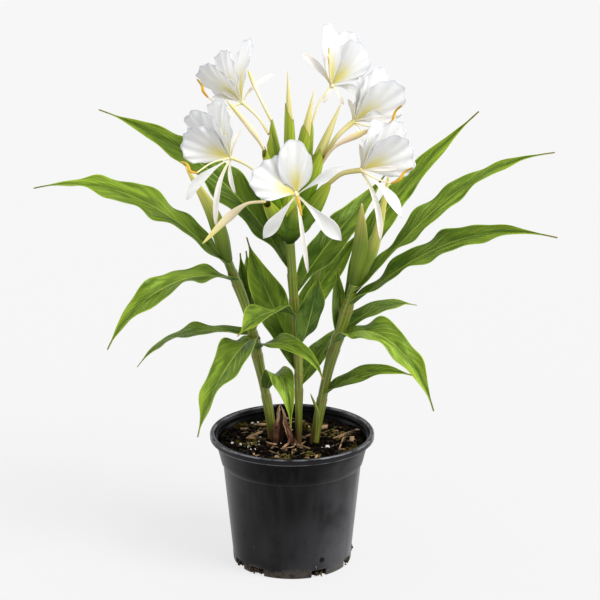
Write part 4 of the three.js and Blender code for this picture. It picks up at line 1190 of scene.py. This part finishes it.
def make_petal(throat, facing, petal, index):
    kind, reach, width = petal
    offset = Vector(reach)
    length = offset.length
    away = offset.normalized()
    start = (away + facing * 0.55).normalized()
    finish = (away - facing * 0.35).normalized()
    tip = throat + offset
    spot, heading = bow(
        throat + away * (THROAT_RADIUS * 0.5), throat + start * (length * 0.36),
        tip - finish * (length * 0.34), tip,
    )
    inner = (facing + Vector((0, -1.2, 0.3))).normalized() if kind == "strap" else facing
    phase = index * 2.0 + length

    def axes(t):
        along = heading(t)
        normal = (inner - along * inner.dot(along)).normalized()
        return normal.cross(along), normal

    # A lobe is straight from the throat to where its sides touch a rounded end
    smooth_edge = kind in ("oval", "lip")
    round_share = 0.46 if smooth_edge else 0.38
    belly = 1 - round_share
    sweep = math.acos(-round_share / belly)

    def lobe_place(u, v):
        w = 2 * u - 1
        turn = w * sweep
        frill = 0.028 * math.sin(5.5 * w + phase) + 0.022 * math.sin(22 * w + 2 * phase)
        frill *= v ** 3 * (1 - w ** 4) * (0.4 if smooth_edge else 1)
        behind = 0
        if kind == "lip":
            frill -= 0.05 * v ** 3 * math.exp(-((w - LIP_NOTCH) / 0.07) ** 2)
            behind = LIP_STEP * v * (1 - eased((w - LIP_NOTCH + 0.08) / 0.12))
        t = v * (belly + round_share * math.cos(turn) + frill)
        across = width / 2 * math.sin(turn) * v ** 1.12 * (1 + frill)
        side, normal = axes(min(1, t))
        centre = spot(min(1, t)) + heading(1) * (length * max(0, t - 1))
        ruffle = width * v ** 4 * (0.045 * math.sin(7 * w + phase) + 0.042 * math.sin(22 * w + phase))
        ruffle *= 0.3 if smooth_edge else 1
        crease = -0.02 * width * v * math.exp(-(w / 0.12) ** 2)
        cup = LOBE_CUP * across ** 2 / (width / 2)
        return centre + side * across + normal * (cup + crease + ruffle + LOBE_LAYER * index * v - behind)

    def blade_place(u, v):
        w = 2 * u - 1
        if kind == "broad":
            half = width / 2 * (0.12 + 0.88 * math.sin(math.pi * v ** 2.1) ** 1.2)
        else:
            half = width / 2 * (0.3 + 0.7 * math.sin(math.pi * v ** 1.6) ** 0.9)
        half *= math.sqrt(max(0.02, 1 - max(0, (v - 0.9) / 0.1) ** 2))
        side, normal = axes(v)
        ripple = 0.08 * half * math.sin(11 * v + phase + 2 * w)
        return spot(v) + side * (w * half) + normal * (half * PETAL_CUP * 1.4 * w * w + ripple)

    lobe = (36, 16, lobe_place, LOBE_SKIN)
    makings = {"broad": (8, 18, blade_place, NARROW_SHADED_SKIN), "strap": (6, 16, blade_place, STRAP_SKIN)}
    across, along, place, skin = makings.get(kind, lobe)
    blade = laid_grid("petal", across, along, place)
    wear(blade, skin)
    return thickened(blade, PETAL_SHEET)


def make_bloom(name):
    throat, mouth, bend, facing, tube_radius, green, petals, filament, _ = BLOOMS[name]
    throat, facing = Vector(throat), Vector(facing).normalized()
    tube = wrapped(
        "tube", [mouth, bend, throat], lambda t: tube_radius * mixed(0.92, 1.12, t), 12, 16, green
    )
    wear(tube, TUBE_SKIN)
    reaches = [throat + Vector(reach) for reach in filament]
    thread = wrapped(
        "filament", [throat, *reaches], lambda t: FILAMENT_RADIUS * mixed(1.15, 0.8, t), 10, 18
    )
    wear(thread, FILAMENT_SKIN)
    pieces = [tube, thread, make_throat(throat)]
    pieces += [make_petal(throat, facing, petal, index) for index, petal in enumerate(petals)]
    return joined("flower_" + name, pieces)


def make_throat(throat):
    pick_nothing()
    bpy.ops.mesh.primitive_uv_sphere_add(segments=16, ring_count=10, radius=THROAT_RADIUS * MM)
    ball = bpy.context.object
    ball.data.transform(Matrix.Translation(throat * MM))
    paint(ball, 0.3)
    smooth(ball)
    wear(ball, TUBE_SKIN)
    return ball


def make_anther(name):
    throat, _, _, _, _, _, _, filament, anther = BLOOMS[name]
    throat = Vector(throat)
    before, end, tip = (throat + Vector(reach) for reach in (*filament, anther))
    swing = (end - before).normalized()
    start = end - swing * 0.4
    route = [
        start, start.lerp(tip, 0.28) + swing * 2.6, start.lerp(tip, 0.5),
        start.lerp(tip, 0.74) - swing * 2, tip,
    ]

    def radius_at(t):
        return ANTHER_RADIUS * (0.5 + 0.5 * math.sin(math.pi * min(1, t * 0.94) ** 0.7))

    def groove(u, v):
        return 1 - 0.22 * math.exp(-((u - 0.5) / 0.07) ** 2) * math.sin(math.pi * v)

    paleness = 1.0 if name == "top_right" else 0.0
    pod = wrapped("pollen_" + name, route, radius_at, 16, 26, paleness, groove)
    wear(pod, ANTHER_SKIN)
    return pod


def make_bud(name):
    route, radius, fat, pink = BUDS[name]

    def twist(u, v):
        return 1 + 0.05 * math.sin(math.tau * (3 * u + 1.2 * v))

    def radius_at(t):
        if t < fat:
            return mixed(BUD_TUBE, radius, eased((t - fat + BUD_SWELL) / BUD_SWELL))
        return mixed(0.5, radius, max(0, 1 - ((t - fat) / (1 - fat)) ** 1.5) ** 0.9)

    bud = wrapped("closed_" + name, route, radius_at, 18, 34, pink, twist)
    wear(bud, BUD_SKIN)
    return bud


def make_rolled_leaf(name):
    route, radius, fat, root_radius, tone = ROLLED[name]
    leaf = rolled_sheet(
        "furled_" + name, route, swelling(radius, fat, root_radius, 0.5), 1.45, 2.4,
        twist=0.9, sheet=0.6, sides=26, steps=40, tone=tone,
    )
    wear(leaf, ROLLED_SKIN)
    return leaf


def make_husk():
    """Crumpled shreds that lean on each other, the same on each run because of the seed."""
    noise.seed_set(CRUMPLE_SEED)
    shreds = []
    for index, (route, radius, fat, tone) in enumerate(HUSKS):
        shred = rolled_sheet(
            "shred", route, swelling(radius, fat, radius - 0.6, 0.5), 0.8, 2.0 + 1.9 * index,
            slant=0.3, twist=1.6, sheet=0.5, tone=tone,
        )
        for vertex in shred.data.vertices:
            spot = vertex.co / MM
            crumple = noise.noise_vector(spot * 0.16) * (1.6 * MM)
            vertex.co += crumple + noise.noise_vector(spot * 0.5) * (0.5 * MM)
        shreds.append(shred)
    husk = joined("withered_sheath", shreds)
    wear(husk, HUSK_SKIN)
    return husk


# Studio

CAMERA_PLACE = (8.2, -2330, 1006.3)
CAMERA_AIM = (8.2, 0, 281.5)
LENS = 144
SENSOR_WIDTH = 36
ROOM_LIGHT = 0.7
WINDOW_LIGHT = 3.1
WINDOW_PLACE = (1500, -1000, 2100)
WINDOW_SPREAD = 32
FLOOR_SIZE = 14000
FLOOR_SHADE = 0.12
FLOOR_GLOW = 0.742

# Soft panels: place, width, height and light in watts
PANELS = [((-1600, 300, 700), 1000, 1400, 12), ((1600, 500, 700), 700, 1400, 12)]
PANEL_AIM = (0, 0, 150)


def aimed(place, aim):
    return (metres(aim) - metres(place)).to_track_quat("-Z", "Y")


def add_studio():
    pick_nothing()
    bpy.ops.mesh.primitive_plane_add(size=FLOOR_SIZE * MM)
    floor = bpy.context.object
    floor.name = "studio_floor"
    coat = Coat(
        "pale floor", 0.9, Specular_IOR_Level=0.1, Base_Color=(FLOOR_SHADE, FLOOR_SHADE, FLOOR_SHADE, 1),
        Emission_Color=(1, 1, 1, 1), Emission_Strength=FLOOR_GLOW,
    )
    wear(floor, coat.material)
    floor.visible_diffuse = False

    world = bpy.data.worlds.new("soft room")
    bpy.context.scene.world = world
    world.use_nodes = True
    backdrop = world.node_tree.nodes["Background"].inputs
    backdrop["Color"].default_value = (1, 1, 1, 1)
    backdrop["Strength"].default_value = ROOM_LIGHT

    sky = bpy.data.lights.new("broad window", "SUN")
    sky.angle = math.radians(WINDOW_SPREAD)
    sky.energy = WINDOW_LIGHT
    window = bpy.data.objects.new("broad window", sky)
    window.location = metres(WINDOW_PLACE)
    window.rotation_euler = aimed(WINDOW_PLACE, (0, 0, 0)).to_euler()
    bpy.context.scene.collection.objects.link(window)

    # The panels light the plant and leave the floor as even as it is
    unlit_floor = bpy.data.collections.new("not lit by the panels")
    unlit_floor.objects.link(floor)
    unlit_floor.collection_objects[0].light_linking.link_state = "EXCLUDE"
    for place, width, height, watts in PANELS:
        glow = bpy.data.lights.new("soft panel", "AREA")
        glow.shape, glow.size, glow.size_y, glow.energy = "RECTANGLE", width * MM, height * MM, watts
        panel = bpy.data.objects.new("soft panel", glow)
        panel.location = metres(place)
        panel.rotation_euler = aimed(place, PANEL_AIM).to_euler()
        panel.visible_camera = False
        panel.light_linking.receiver_collection = unlit_floor
        bpy.context.scene.collection.objects.link(panel)
    bpy.context.scene.view_settings.view_transform = "Standard"

    lens = bpy.data.cameras.new("photo camera")
    lens.lens = LENS
    lens.sensor_width = SENSOR_WIDTH
    camera = bpy.data.objects.new("photo camera", lens)
    camera.location = metres(CAMERA_PLACE)
    camera.rotation_euler = aimed(CAMERA_PLACE, CAMERA_AIM).to_euler()
    bpy.context.scene.collection.objects.link(camera)
    bpy.context.scene.camera = camera


# Assembly

settle(make_pot(), "pot")
settle(make_soil(), "soil")
for pile in make_litter():
    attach(pile, "root")
settle(make_husk(), "dried_sheath")
shoot_route, shoot_radius, shoot_fat = SHOOT
shoot = rolled_sheet(
    "green_shoot", shoot_route, swelling(shoot_radius, shoot_fat, 1.8, 0.3), 1.3, 3.4, slant=0.1, twist=0.6,
)
wear(shoot, CANE_SKIN)
settle(shoot, "young_shoot")
for cane in CANES:
    settle(make_cane(cane), "cane_" + cane)
for index, name in enumerate(LEAVES):
    settle(make_leaf(name, index), "leaf_" + name)
for name in ROLLED:
    settle(make_rolled_leaf(name), "rolled_leaf_" + name)
settle(make_head(), "flower_head")
for name in BLOOMS:
    settle(make_bloom(name), "bloom_" + name)
    settle(make_anther(name), "anther_" + name)
for name in BUDS:
    settle(make_bud(name), name)
add_studio()
